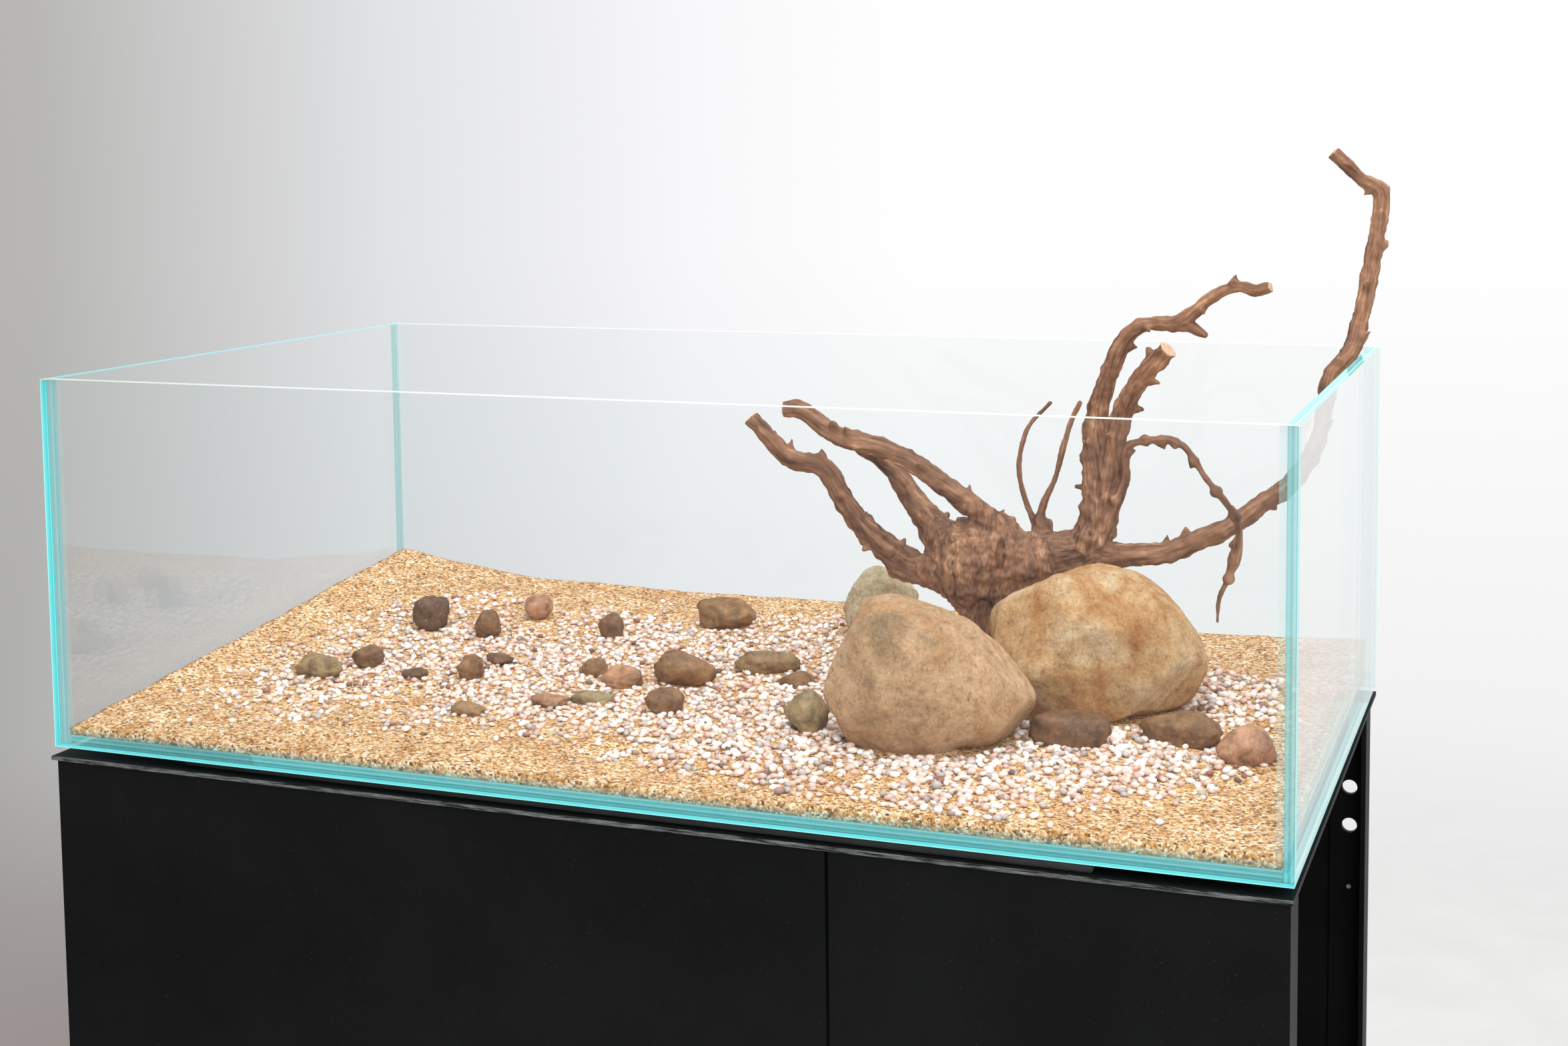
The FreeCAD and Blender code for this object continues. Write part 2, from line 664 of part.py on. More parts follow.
# The root: each limb runs through points (x and y in the row frame, z over the base glass, radius).
WOOD_SIDES = 8
LIMBS = {
    "trunk": (
        (240, 64, 14, 7), (239, 66, 48, 9), (236, 70, 78, 11), (229, 75, 103, 22), (226, 79, 119, 33.5),
        (223, 83, 135, 43.1), (227, 88, 152, 49.1), (243, 92, 167, 40.6),
    ),
    "left_low": (
        (213, 84, 132, 26.4), (183, 84, 133, 18.8), (155, 84, 138, 17), (133, 80, 155, 15),
        (109, 76, 178, 12.6), (90, 72, 203, 11.2), (75, 70, 230, 11.2), (63, 69, 241, 10.7),
        (43, 68, 245, 10.2), (26, 66, 251, 9.8), (9, 62, 270, 8.8), (-10, 60, 291, 8.3),
    ),
    "left_middle": (
        (210, 92, 143, 28.9), (184, 98, 169, 20.3), (159, 104, 199, 13.6), (135, 108, 228, 10.7),
        (112, 111, 247, 8.3), (92, 113, 255, 6.4),
    ),
    "left_high": (
        (259, 88, 158, 26.2), (248, 82, 183, 17.1), (230, 76, 202, 12.3), (209, 70, 219, 10.9),
        (188, 66, 234, 10.4), (161, 58, 255, 10.4), (135, 55, 266, 10), (111, 52, 271, 10),
        (84, 49, 279, 9.6), (65, 46, 294, 9.6), (50, 45, 303, 9.1), (33, 44, 302, 8.7),
    ),
    "shoulder": (
        (252, 98, 148, 22), (284, 100, 155, 21), (322, 103, 161, 19), (358, 107, 159, 12),
    ),
    "fork": (
        (336, 106, 160, 22), (344, 109, 188, 19.5), (347, 111, 212, 17), (346, 112, 238, 16.3),
        (344, 115, 271, 15.4), (344, 117, 295, 12.2), (349, 119, 321, 9.9), (358, 121, 349, 9.4),
        (371, 123, 376, 8.4), (387, 124, 390, 7.6), (406, 123, 392, 7.6), (425, 122, 393, 8),
        (443, 120, 407, 7.2), (465, 118, 424, 5.9), (486, 116, 431, 5.5), (501, 112, 428, 6.3),
        (517, 108, 432, 5.4),
    ),
    "fork_stub": (
        (427, 122, 392, 7.4), (441, 120, 388, 6), (452, 118, 382, 3.2),
    ),
    "stub": (
        (353, 110, 220, 15.5), (362, 106, 259, 12.6), (368, 103, 288, 11.2), (379, 98, 317, 10.2),
        (397, 92, 344, 9.7), (422, 84, 371, 10),
    ),
    "long": (
        (334, 108, 159, 16.6), (362, 110, 157, 12.8), (390, 112, 160, 11.3),
        (417, 116, 163, 10.8), (445, 120, 175, 10.3), (476, 127, 190, 10.2), (506, 138, 213, 9.8),
        (527, 148, 228, 9.8), (545, 164, 251, 8.8), (556, 180, 280, 8.4), (559, 198, 307, 8.5),
        (562, 218, 332, 9), (578, 244, 356, 9.5), (586, 262, 387, 9.1), (591, 276, 419, 8.6),
        (596, 286, 457, 8.7), (602, 294, 495, 8.7), (602, 297, 519, 8.7), (583, 296, 530, 7.2),
        (566, 294, 547, 6.8), (553, 292, 560, 6.8),
    ),
    "loop": (
        (357, 104, 188, 9.4), (367, 100, 210, 5.6), (377, 96, 238, 5.1), (379, 92, 269, 4.6),
        (398, 90, 278, 3.7), (426, 88, 280, 3.7), (443, 84, 269, 3.7), (460, 80, 245, 3.2),
        (475, 76, 229, 3.2), (490, 72, 210, 3.2), (494, 70, 190, 3.6), (490, 68, 169, 5.9),
        (483, 66, 148, 2.9), (476, 64, 130, 2.5), (475, 62, 108, 1.6),
    ),
    "back_twig": (
        (298, 118, 160, 13.4), (282, 124, 173, 8.2), (274, 128, 189, 3.9), (263, 130, 215, 2.9),
        (259, 132, 244, 2.9), (268, 134, 280, 2.6), (291, 136, 307, 2.4),
    ),
    "side_twig": (
        (290, 118, 164, 9.6), (282, 124, 179, 6.3), (287, 128, 206, 3.8), (298, 130, 231, 2.9),
        (306, 132, 263, 3.3), (313, 134, 288, 3.1), (322, 136, 308, 2.9),
    ),
    "stub_knob": (
        (291, 122, 171, 7.2), (291, 126, 184, 4.8),
    ),
}


def limb(points):
    """A tapering limb: a ring of corners square to the path at each point."""
    path = [FreeCAD.Vector(*point[:3]) for point in points]
    rings = []
    for i, point in enumerate(path):
        forward = (path[min(i + 1, len(path) - 1)] - path[max(i - 1, 0)]).normalize()
        side = forward.cross(FreeCAD.Vector(0.3, 1, 0.1)).normalize()
        other = forward.cross(side)
        radius = points[i][3]
        rings.append([
            point + side * (radius * math.cos(2 * math.pi * k / WOOD_SIDES))
            + other * (radius * math.sin(2 * math.pi * k / WOOD_SIDES))
            for k in range(WOOD_SIDES)])
    return skin(rings)


def root_wood():
    """The limbs joined at the layout's own size, then shrunk and moved with the layout."""
    limbs = [limb(points) for points in LIMBS.values()]
    wood = limbs[0].multiFuse(limbs[1:])
    wood.scale(LAYOUT_SCALE)
    wood.translate(FreeCAD.Vector(LAYOUT_SHIFT, 0, number(BASE_TOP)))
    return wood


def natural(name, shape):
    """A found piece, such as a stone, has no feature history: its shape is set whole."""
    feature = doc.addObject("Part::Feature", "found")
    feature.Shape = shape
    return node(name, feature)


def hardscape():
    for name, measures in BOULDERS.items():
        natural(name, stone(*measures))
    for name, rows in RIVER_STONES.items():
        natural(name, Part.makeCompound([stone(*measures) for measures in rows]))
    wood = root_wood()
    for boulder in BOULDERS:
        wood = wood.cut(nodes[boulder].Shape)
    natural("driftwood", max(wood.Solids, key=lambda solid: solid.Volume))

    set_in_sand = [nodes[name] for name in (*BOULDERS, *RIVER_STONES, "driftwood")]
    heap = sand_loft("0")
    node("sand_bed", cut(heap, set_in_sand + [nodes["base_seals"], nodes["corner_seals"]]))

    raised = sand_loft("pebble_depth")
    band = box(
        (f"2 * {INNER_X} - 2 * pebble_end_margin",
         f"2 * {INNER_Y} - pebble_front_margin - pebble_back_margin", "tank_height"),
        (f"pebble_end_margin - {INNER_X}", f"pebble_front_margin - {INNER_Y}", BASE_TOP))
    layer = doc.addObject("Part::Common", "layer")
    layer.Base = raised
    layer.Tool = band
    node("pebble_layer", cut(cut(layer, [heap]), set_in_sand))


glass_tank()
foam_mat()
steel_frame()
posts()
panels()
door()
feet()
hardscape()
doc.recompute()

faults = [thing.Name for thing in doc.Objects if {"Invalid", "Error"} & set(thing.State)]
for name, thing in nodes.items():
    shape = thing.Shape
    if shape.isNull() or not shape.isValid() or not shape.Solids:
        faults.append(name)
if faults:
    raise RuntimeError(f"these did not build: {sorted(set(faults))}")
for name, thing in nodes.items():
    thing.Shape.exportStep(f"parts/{name}.step")
print(len(nodes), "sub-parts,", sum(len(thing.Shape.Solids) for thing in nodes.values()), "solids")
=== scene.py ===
# %% [markdown]
# A rimless aquarium on a black steel stand, dressed with sand, pebbles, three boulders and one root.
# The CAD model gives every hard piece its place. This notebook adds what CAD leaves plain: loose sand
# and pebbles, worn stone, furrowed wood, glass that is aqua at its edges, and a soft studio around it.

import json
import math
import random

import bmesh
import bpy
import numpy as np
from mathutils import Matrix, Vector, noise
from mathutils.kdtree import KDTree

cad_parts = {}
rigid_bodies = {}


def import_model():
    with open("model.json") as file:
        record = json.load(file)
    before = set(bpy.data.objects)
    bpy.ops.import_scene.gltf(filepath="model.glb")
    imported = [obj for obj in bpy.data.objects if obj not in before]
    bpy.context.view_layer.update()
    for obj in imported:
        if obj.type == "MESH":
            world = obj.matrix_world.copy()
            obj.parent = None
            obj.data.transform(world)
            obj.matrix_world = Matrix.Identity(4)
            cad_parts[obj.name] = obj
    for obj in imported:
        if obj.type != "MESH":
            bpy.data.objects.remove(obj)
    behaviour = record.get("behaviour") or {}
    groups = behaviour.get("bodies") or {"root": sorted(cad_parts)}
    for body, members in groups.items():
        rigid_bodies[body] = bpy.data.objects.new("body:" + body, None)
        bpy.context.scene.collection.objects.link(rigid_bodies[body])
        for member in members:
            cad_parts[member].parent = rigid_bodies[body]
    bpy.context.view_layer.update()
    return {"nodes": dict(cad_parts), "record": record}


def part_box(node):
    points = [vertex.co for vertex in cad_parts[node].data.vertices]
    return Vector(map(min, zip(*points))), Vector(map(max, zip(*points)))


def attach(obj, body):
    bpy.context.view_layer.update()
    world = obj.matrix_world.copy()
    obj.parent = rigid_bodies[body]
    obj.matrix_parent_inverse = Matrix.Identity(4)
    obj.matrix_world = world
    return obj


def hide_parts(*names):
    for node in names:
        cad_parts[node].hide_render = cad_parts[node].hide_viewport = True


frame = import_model()
record = frame["record"]
stand_body = record["behaviour"]["joints"][0]["parent"]

# %% [markdown]
# Colours are easiest to choose as the hex values that a paint chart gives. Blender's shaders work in
# linear light, so one function turns hex into linear numbers. Another adds a shader node with its
# settings and its links, helped by one that fills in a node's inputs, so each material stays short.

# %% Colour and node helpers


def linear(hex_colour):
    """A hex colour as Blender's linear red, green, blue and alpha."""
    parts = [int(hex_colour[i:i + 2], 16) / 255 for i in (1, 3, 5)]
    return tuple(p / 12.92 if p <= 0.04045 else ((p + 0.055) / 1.055) ** 2.4 for p in parts) + (1.0,)


def set_inputs(tree, node, inputs):
    """Sets or links a node's inputs. Another node stands for its first output that is in use."""
    for name, value in inputs.items():
        if isinstance(value, bpy.types.Node):
            value = next(output for output in value.outputs if output.enabled)
        if isinstance(value, bpy.types.NodeSocket):
            tree.links.new(value, node.inputs[name])
        else:
            node.inputs[name].default_value = linear(value) if isinstance(value, str) else value


def add_node(tree, kind, settings=None, inputs=None, stops=None):
    """Adds the node ShaderNode + kind, with its options, its inputs and its ramp's colours."""
    node = tree.nodes.new("ShaderNode" + kind)
    for name, value in (settings or {}).items():
        setattr(node, name, value)
    set_inputs(tree, node, inputs or {})
    for i, (position, colour) in enumerate(stops or ()):
        elements = node.color_ramp.elements
        element = elements[i] if i < len(elements) and i < 2 else elements.new(position)
        element.position = position
        element.color = linear(colour) if isinstance(colour, str) else (colour, colour, colour, 1)
    return node


def start_material(name):
    """A new node material with its tree, its Principled shader and the piece's own coordinates."""
    material = bpy.data.materials.new(name)
    material.use_nodes = True
    tree = material.node_tree
    place = add_node(tree, "TexCoord").outputs["Object"]
    return material, tree, tree.nodes["Principled BSDF"], place


def per_mm(size):
    """Texture scale for a pattern whose parts are this many millimetres across."""
    return 1000 / size


def add_object(name, data):
    """A new object that shows a mesh, a lamp or a camera, put in the scene."""
    thing = bpy.data.objects.new(name, data)
    bpy.context.scene.collection.objects.link(thing)
    return thing


COLOURS = {"data_type": "RGBA"}
MULTIPLIED = {"data_type": "RGBA", "blend_type": "MULTIPLY"}
print("helpers ready")

# %% [markdown]
# The camera stands a little to the right of the tank's middle and looks slightly down, so that the
# tank's right end, the rim and the whole hardscape show. Its three axes are written out as a matrix,
# because a measured direction is more exact than three hand-turned angles.

# %% Camera
camera_data = bpy.data.cameras.new("studio_camera")
camera_data.lens = 48.12
camera_data.sensor_width = 36
camera_data.shift_y = -0.1277
camera_data.clip_end = 100
camera = add_object("studio_camera", camera_data)
right_axis = Vector((0.93289504, 0.35996986, -0.01133781))
up_axis = Vector((-0.02032917, 0.08406345, 0.99625301))
back_axis = right_axis.cross(up_axis).normalized()
camera.matrix_world = Matrix.Translation((0.80801, -1.95502, 1.34435)) @ Matrix(
    (right_axis, up_axis, back_axis)).transposed().to_4x4()
bpy.context.scene.camera = camera
print("camera looks along", [round(-v, 3) for v in back_axis])

# %% [markdown]
# A product studio is mostly white paper and large soft lamps. The world plays the paper: white, and
# greyer towards the left, where less light falls on it. A softbox above gives the gentle shadows
# under the stones, and a second one at the front right gives the wood and the boulders their shape.

# %% World and lamps
bpy.context.scene.view_settings.view_transform = "Standard"
world = bpy.data.worlds.new("studio_paper")
bpy.context.scene.world = world
world.use_nodes = True
tree = world.node_tree
direction = add_node(tree, "TexCoord").outputs["Generated"]
parts = add_node(tree, "SeparateXYZ", inputs={0: direction})
across = add_node(tree, "MapRange", inputs={
    "Value": parts.outputs["X"], "From Min": -0.75, "From Max": -0.30})
paper = add_node(tree, "ValToRGB", inputs={"Fac": across}, stops=(
    (0.0, "#b0aeac"), (1.0, "#ffffff"), (0.22, "#b8b7b5"), (0.5, "#e2e3e5"), (0.78, "#f8f8fa")))
down = add_node(tree, "MapRange", inputs={
    "Value": parts.outputs["Z"], "From Min": -0.42, "From Max": -0.05, "To Min": 0.80, "To Max": 1.0})
shade = add_node(tree, "Mix", MULTIPLIED, {"Factor": 1.0, "A": paper, "B": down})
set_inputs(tree, tree.nodes["Background"], {"Color": shade, "Strength": 1.0})


def softbox(name, place, target, size, power):
    """A square area lamp that faces a point."""
    data = bpy.data.lights.new(name, "AREA")
    data.size = size
    data.energy = power
    lamp = add_object(name, data)
    lamp.location = place
    lamp.rotation_euler = (Vector(target) - Vector(place)).to_track_quat("-Z", "Y").to_euler()


softbox("top_softbox", (0.35, -0.35, 3.1), (0.05, 0, 0.8), 1.5, 38)
softbox("front_softbox", (1.5, -2.6, 2.2), (0.2, 0, 0.9), 1.5, 38)
print("two softboxes and a paper-white world")

# %% [markdown]
# The floor is one pale round sheet that fades into the white world at its rim, so no horizon line
# cuts the picture. Its left side is painted darker, a painted shade like the studio's shade on the
# wall there. It isn't part of the aquarium.

# %% Floor
floor_mesh = bpy.data.meshes.new("studio_floor")
shape = bmesh.new()
bmesh.ops.create_circle(shape, cap_ends=True, segments=96, radius=3.4)
shape.to_mesh(floor_mesh)
shape.free()
floor = add_object("studio_floor", floor_mesh)
floor.location.z = -0.0005
floor_paint, tree, shader, place = start_material("matt_studio_paper")
distance = add_node(tree, "VectorMath", {"operation": "LENGTH"}, {0: place})
fade = add_node(tree, "MapRange", {"interpolation_type": "SMOOTHSTEP"}, {
    "Value": distance, "From Min": 1.2, "From Max": 3.2, "To Min": 1, "To Max": 0})
fibre = add_node(tree, "TexNoise", inputs={"Vector": place, "Scale": per_mm(120)})
tone = add_node(tree, "ValToRGB", inputs={"Fac": fibre}, stops=((0.3, "#d8d8d7"), (0.7, "#dededd")))
# Towards the left the floor's colour is painted darker: painted shade.
sides = add_node(tree, "SeparateXYZ", inputs={0: place})
leftward = add_node(tree, "MapRange", {"interpolation_type": "SMOOTHSTEP"}, {
    "Value": sides.outputs["X"], "From Min": -1.35, "From Max": -0.35})
painted_floor_shade = add_node(tree, "Mix", COLOURS, {"Factor": leftward, "A": "#8d8583", "B": tone})
set_inputs(tree, shader, {"Base Color": painted_floor_shade, "Alpha": fade, "Roughness": 0.9})
floor.data.materials.append(floor_paint)
print("floor radius 3.4 m")

# %% [markdown]
# Float glass is clear where light crosses it and aqua where light has travelled the long way through
# it, at the cut edges. Each pane is only 10 mm thick, so bending hardly shows: the wide faces mix
# clear with mirror by the Fresnel law, and the narrow faces get the polished aqua edge, which also
# glows a little as painted light. Which face is which follows from the surface's direction.

# %% Glass


def low_iron_glass(name, axis, painted_top_light=0.0, mirror_strength=1.0):
    """Float glass for a pane whose wide faces look along an axis.

    painted_top_light paints its top edge pale, a painted highlight, and mirror_strength is lower where
    the pane faces the dark room.
    """
    material, tree, shader, place = start_material(name)
    geometry = add_node(tree, "NewGeometry")
    facing = add_node(tree, "SeparateXYZ", inputs={0: geometry.outputs["True Normal"]})
    size = add_node(tree, "Math", {"operation": "ABSOLUTE"}, {0: facing.outputs[axis]})
    is_edge = add_node(tree, "Math", {"operation": "LESS_THAN"}, {0: size, 1: 0.5})
    # Seen from inside the pane the law would turn round, so the index is turned with it.
    index = add_node(tree, "Math", {"operation": "MULTIPLY_ADD"}, {
        0: geometry.outputs["Backfacing"], 1: 1 / 1.5 - 1.5, 2: 1.5})
    mirror_share = add_node(tree, "Fresnel", inputs={"IOR": index})
    share = add_node(tree, "Math", {"operation": "MULTIPLY"}, {0: mirror_share, 1: mirror_strength})
    clear = add_node(tree, "BsdfTransparent", inputs={"Color": "#fdfefe"})
    mirror = add_node(tree, "BsdfGlossy", inputs={"Color": "#ffffff", "Roughness": 0.0})
    wide = add_node(tree, "MixShader", inputs={0: share, 1: clear, 2: mirror})
    # Light trapped between the faces shows as stripes that run along the edge, about 3 mm apart.
    # The stripes are painted reflections in the edge colour.
    parts = add_node(tree, "SeparateXYZ", inputs={0: place})
    stripes = add_node(tree, "TexNoise", {"noise_dimensions": "1D"}, {
        "W": parts.outputs[axis], "Scale": per_mm(3.2), "Detail": 1.0})
    aqua = add_node(tree, "ValToRGB", inputs={"Fac": stripes}, stops=(
        (0.35, "#38abb0"), (0.70, "#9fdedf"), (0.52, "#5fc3c6")))
    # A long pane's top edge is seen almost along its face, and there it looks nearly clear.
    # There it is painted pale, a painted highlight.
    at_top = add_node(tree, "Math", {"operation": "GREATER_THAN"}, {
        0: parts.outputs["Z"], 1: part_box("front_glass")[1][2] - 0.002})
    top_share = add_node(tree, "Math", {"operation": "MULTIPLY"}, {0: at_top, 1: painted_top_light})
    edge_colour = add_node(tree, "Mix", COLOURS, {"Factor": top_share, "A": aqua, "B": "#c4c8bf"})
    # The edge colour is also the emission, so the narrow faces glow a little: painted light.
    set_inputs(tree, shader, {
        "Roughness": 0.12, "IOR": 1.5, "Emission Strength": 0.32, "Base Color": edge_colour,
        "Emission Color": edge_colour})
    # The far corners' edges are seen from inside the glass, through more glass, and look paler.
    is_far = add_node(tree, "Math", {"operation": "GREATER_THAN"}, {0: parts.outputs["Y"], 1: 0.25})
    dimmed = add_node(tree, "Math", {"operation": "MULTIPLY"}, {
        0: is_far, 1: geometry.outputs["Backfacing"]})
    keep = add_node(tree, "Math", {"operation": "MULTIPLY_ADD"}, {0: dimmed, 1: -0.62, 2: 1.0})
    edge_share = add_node(tree, "Math", {"operation": "MULTIPLY"}, {0: is_edge, 1: keep})
    whole = add_node(tree, "MixShader", inputs={0: edge_share, 1: wide, 2: shader.outputs[0]})
    set_inputs(tree, tree.nodes["Material Output"], {"Surface": whole})
    return material


def finish_nodes(material, *names):
    """Gives CAD nodes a finish on their objects' own slots, so that their meshes stay as they are."""
    for name in names:
        for slot in frame["nodes"][name].material_slots:
            slot.link = "OBJECT"
            slot.material = material
    print(material.name, "on", len(names), "nodes")


def nodes_of(slot):
    """The CAD nodes that the record gives one material slot."""
    return [part["node"] for part in record["subparts"] if part["material_slot"] == slot]


finish_nodes(low_iron_glass("low_iron_glass_long", "Y", 0.85, 0.25), "front_glass", "back_glass")
finish_nodes(low_iron_glass("low_iron_glass_end", "X"), "left_glass", "right_glass")
finish_nodes(low_iron_glass("low_iron_glass_base", "Z"), "base_glass")

# %% [markdown]
# Clear silicone holds the panes. It is cured rubber: soft, slightly cloudy and a little glossy, and
# it takes up the aqua of the edges beside it. Most of the light passes straight through it.

# %% Silicone
silicone, tree, shader, place = start_material("clear_silicone_rubber")
cloud = add_node(tree, "TexNoise", inputs={"Vector": place, "Scale": per_mm(6), "Detail": 3.0})
tint = add_node(tree, "ValToRGB", inputs={"Fac": cloud}, stops=((0.35, "#9fd6d6"), (0.7, "#c4e6e4")))
opacity = add_node(tree, "MapRange", inputs={"Value": cloud, "To Min": 0.10, "To Max": 0.16})
set_inputs(tree, shader, {"Base Color": tint, "Alpha": opacity, "Roughness": 0.25, "IOR": 1.41})
finish_nodes(silicone, "base_seals", "corner_seals")

# %% [markdown]
# The stand is folded sheet steel with a fine-textured black powder coat. Such a coat is baked paint
# with tiny lumps, under half a millimetre across, that scatter light, so it looks deep black with a
# soft sheen and never mirrors. A little dust makes it uneven. The top plate has the same coat, worn
# pale along its front edge where the tank was slid into place.

# %% Powder-coated steel


def black_powder_coat(name, scuffed_edge=None):
    """Baked black paint over steel. scuffed_edge is the Y of an edge where the paint is rubbed pale."""
    material, tree, shader, place = start_material(name)
    lumps = add_node(tree, "TexNoise", inputs={"Vector": place, "Scale": per_mm(0.9), "Detail": 2.0})
    dust = add_node(tree, "TexNoise", inputs={
        "Vector": place, "Scale": per_mm(140), "Detail": 5.0, "Roughness": 0.6})
    colour = add_node(tree, "ValToRGB", inputs={"Fac": dust},
                      stops=((0.35, "#0b0c0d"), (0.75, "#131415")))
    specks = add_node(tree, "TexNoise", inputs={"Vector": place, "Scale": per_mm(2.2), "Detail": 1.0})
    speck_mask = add_node(tree, "MapRange", inputs={
        "Value": specks, "From Min": 0.74, "From Max": 0.80})
    paint = add_node(tree, "Mix", COLOURS, {"Factor": speck_mask, "A": colour, "B": "#2a2b2b"})
    if scuffed_edge is not None:
        parts = add_node(tree, "SeparateXYZ", inputs={0: place})
        near = add_node(tree, "MapRange", inputs={
            "Value": parts.outputs["Y"], "From Min": scuffed_edge + 0.0035, "From Max": scuffed_edge,
            "To Min": 0.0, "To Max": 0.5})
        stretched = add_node(tree, "Mapping", inputs={"Vector": place, "Scale": (40, 400, 700)})
        rubbed = add_node(tree, "TexNoise", inputs={
            "Vector": stretched, "Scale": 1.0, "Detail": 6.0, "Roughness": 0.7})
        wear = add_node(tree, "Math", {"operation": "MULTIPLY"}, {0: near, 1: rubbed})
        mask = add_node(tree, "MapRange", inputs={
            "Value": wear, "From Min": 0.20, "From Max": 0.34, "To Max": 0.8})
        paint = add_node(tree, "Mix", COLOURS, {"Factor": mask, "A": paint, "B": "#8f9291"})
    rough = add_node(tree, "MapRange", inputs={"Value": dust, "To Min": 0.42, "To Max": 0.62})
    bump = add_node(tree, "Bump", inputs={"Strength": 0.35, "Distance": 0.0003, "Height": lumps})
    set_inputs(tree, shader, {
        "Base Color": paint, "Roughness": rough, "Normal": bump, "Specular IOR Level": 0.07})
    return material


plate_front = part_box("top_plate")[0][1]
unworn = [name for name in nodes_of("black_powder_coat") if name != "top_plate"]
finish_nodes(black_powder_coat("black_powder_coat_steel"), *unworn)
finish_nodes(black_powder_coat("black_powder_coat_rubbed", plate_front), "top_plate")

# %% [markdown]
# Bright zinc plating is a thin metal skin on screws, studs, nuts and the strike plate. It is grey,
# slightly blue and finely brushed by tumbling, so its gloss breaks up in short streaks. Nylon is a
# moulded black plastic with a satin skin and a faint grain from the mould.

# %% Zinc and nylon
zinc, tree, shader, place = start_material("bright_zinc_plated_steel")
tumble = add_node(tree, "TexNoise", inputs={"Vector": place, "Scale": per_mm(1.4), "Detail": 4.0})
colour = add_node(tree, "ValToRGB", inputs={"Fac": tumble}, stops=((0.3, "#a9adb2"), (0.7, "#ccd0d3")))
rough = add_node(tree, "MapRange", inputs={"Value": tumble, "To Min": 0.24, "To Max": 0.46})
set_inputs(tree, shader, {"Base Color": colour, "Roughness": rough, "Metallic": 1.0})
finish_nodes(zinc, *nodes_of("zinc_steel"))

nylon, tree, shader, place = start_material("moulded_black_nylon")
grain = add_node(tree, "TexNoise", inputs={"Vector": place, "Scale": per_mm(0.8), "Detail": 3.0})
colour = add_node(tree, "ValToRGB", inputs={"Fac": grain}, stops=((0.3, "#1b1b1c"), (0.7, "#262627")))
bump = add_node(tree, "Bump", inputs={"Strength": 0.2, "Distance": 0.0002, "Height": grain})
set_inputs(tree, shader, {"Base Color": colour, "Normal": bump, "Roughness": 0.48})
finish_nodes(nylon, *nodes_of("black_nylon"))

# %% [markdown]
# Meshes made from lists of points need the same few steps each time: make the mesh, put it in the
# scene, shade it smooth, give it its finish, and hide the CAD nodes it stands for.

# %% Piece helper


def make_piece(name, points, faces, material, replaced):
    """A mesh piece that rides on the stand and stands for some CAD nodes."""
    mesh = bpy.data.meshes.new(name)
    mesh.from_pydata([tuple(p) for p in points], [], [tuple(int(i) for i in f) for f in faces])
    mesh.validate()
    mesh.update()
    mesh.polygons.foreach_set("use_smooth", [True] * len(mesh.polygons))
    mesh.materials.append(material)
    piece = add_object(name, mesh)
    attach(piece, stand_body)
    if replaced:
        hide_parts(*replaced)
    print(name, "faces:", len(mesh.polygons))
    return piece


def store(piece, name, values):
    """Keeps one number per corner point under a name that a material can read."""
    layer = piece.data.attributes.new(name, "FLOAT", "POINT")
    layer.data.foreach_set("value", np.asarray(values, dtype=np.float32))


print("piece helper ready")

# %% [markdown]
# Under the tank lies a closed-cell foam mat, dark grey and a little short of the tank. Foam is cut
# from a sheet, so its edge is nearly square but soft, and it bulges a hair under the load. The slab is
# built as a closed grid whose rim is rounded and slightly wavy, turned as the CAD mat is.

# %% Foam mat
foam, tree, shader, place = start_material("closed_cell_foam")
cells = add_node(tree, "TexVoronoi", inputs={"Vector": place, "Scale": per_mm(1.3)})
mottle = add_node(tree, "TexNoise", inputs={"Vector": place, "Scale": per_mm(35), "Detail": 4.0})
colour = add_node(tree, "ValToRGB", inputs={"Fac": mottle}, stops=((0.3, "#212221"), (0.7, "#303130")))
bump = add_node(tree, "Bump", inputs={"Strength": 0.5, "Distance": 0.0005, "Height": cells})
set_inputs(tree, shader, {"Base Color": colour, "Normal": bump, "Roughness": 0.92})

mat_points = np.array([v.co for v in frame["nodes"]["cushion_mat"].data.vertices])
mat_low, mat_high = mat_points[:, 2].min(), mat_points[:, 2].max()
corner_a = mat_points[np.argmin(mat_points[:, 0])]
corner_b = mat_points[np.argmin(mat_points[:, 1])]
corner_c = mat_points[np.argmax(mat_points[:, 0])]
sides = sorted((corner_b - corner_a, corner_c - corner_b), key=lambda v: -abs(v[0]))
length_axis = sides[0][:2] / np.linalg.norm(sides[0][:2])
mat_size = (np.linalg.norm(sides[0][:2]), np.linalg.norm(sides[1][:2]))
mat_middle = (mat_points.min(0)[:2] + mat_points.max(0)[:2]) / 2
MAT_PROFILE = ((0.0, -0.5), (0.55, -0.42), (0.9, -0.2), (1.0, 0.0), (0.9, 0.2), (0.55, 0.42), (0.0, 0.5))
columns, rows = 60, 40
loop = [(-1 + 2 * i / columns, -1) for i in range(columns)]
loop += [(1, -1 + 2 * i / rows) for i in range(rows)]
loop += [(1 - 2 * i / columns, 1) for i in range(columns)]
loop += [(-1, 1 - 2 * i / rows) for i in range(rows)]
points, faces = [], []
for out, level in MAT_PROFILE:
    for u, v in loop:
        wave = 0.0004 * noise.noise(Vector((u * 9, v * 9, 0)))
        reach = 1 - (0.0022 * (1 - out) + 0.0004 + wave) / (mat_size[1] / 2)
        along, over = u * reach * mat_size[0] / 2, v * reach * mat_size[1] / 2
        x = mat_middle[0] + along * length_axis[0] - over * length_axis[1]
        y = mat_middle[1] + along * length_axis[1] + over * length_axis[0]
        points.append((x, y, (mat_low + mat_high) / 2 + level * (mat_high - mat_low) * 0.99))
count = len(loop)
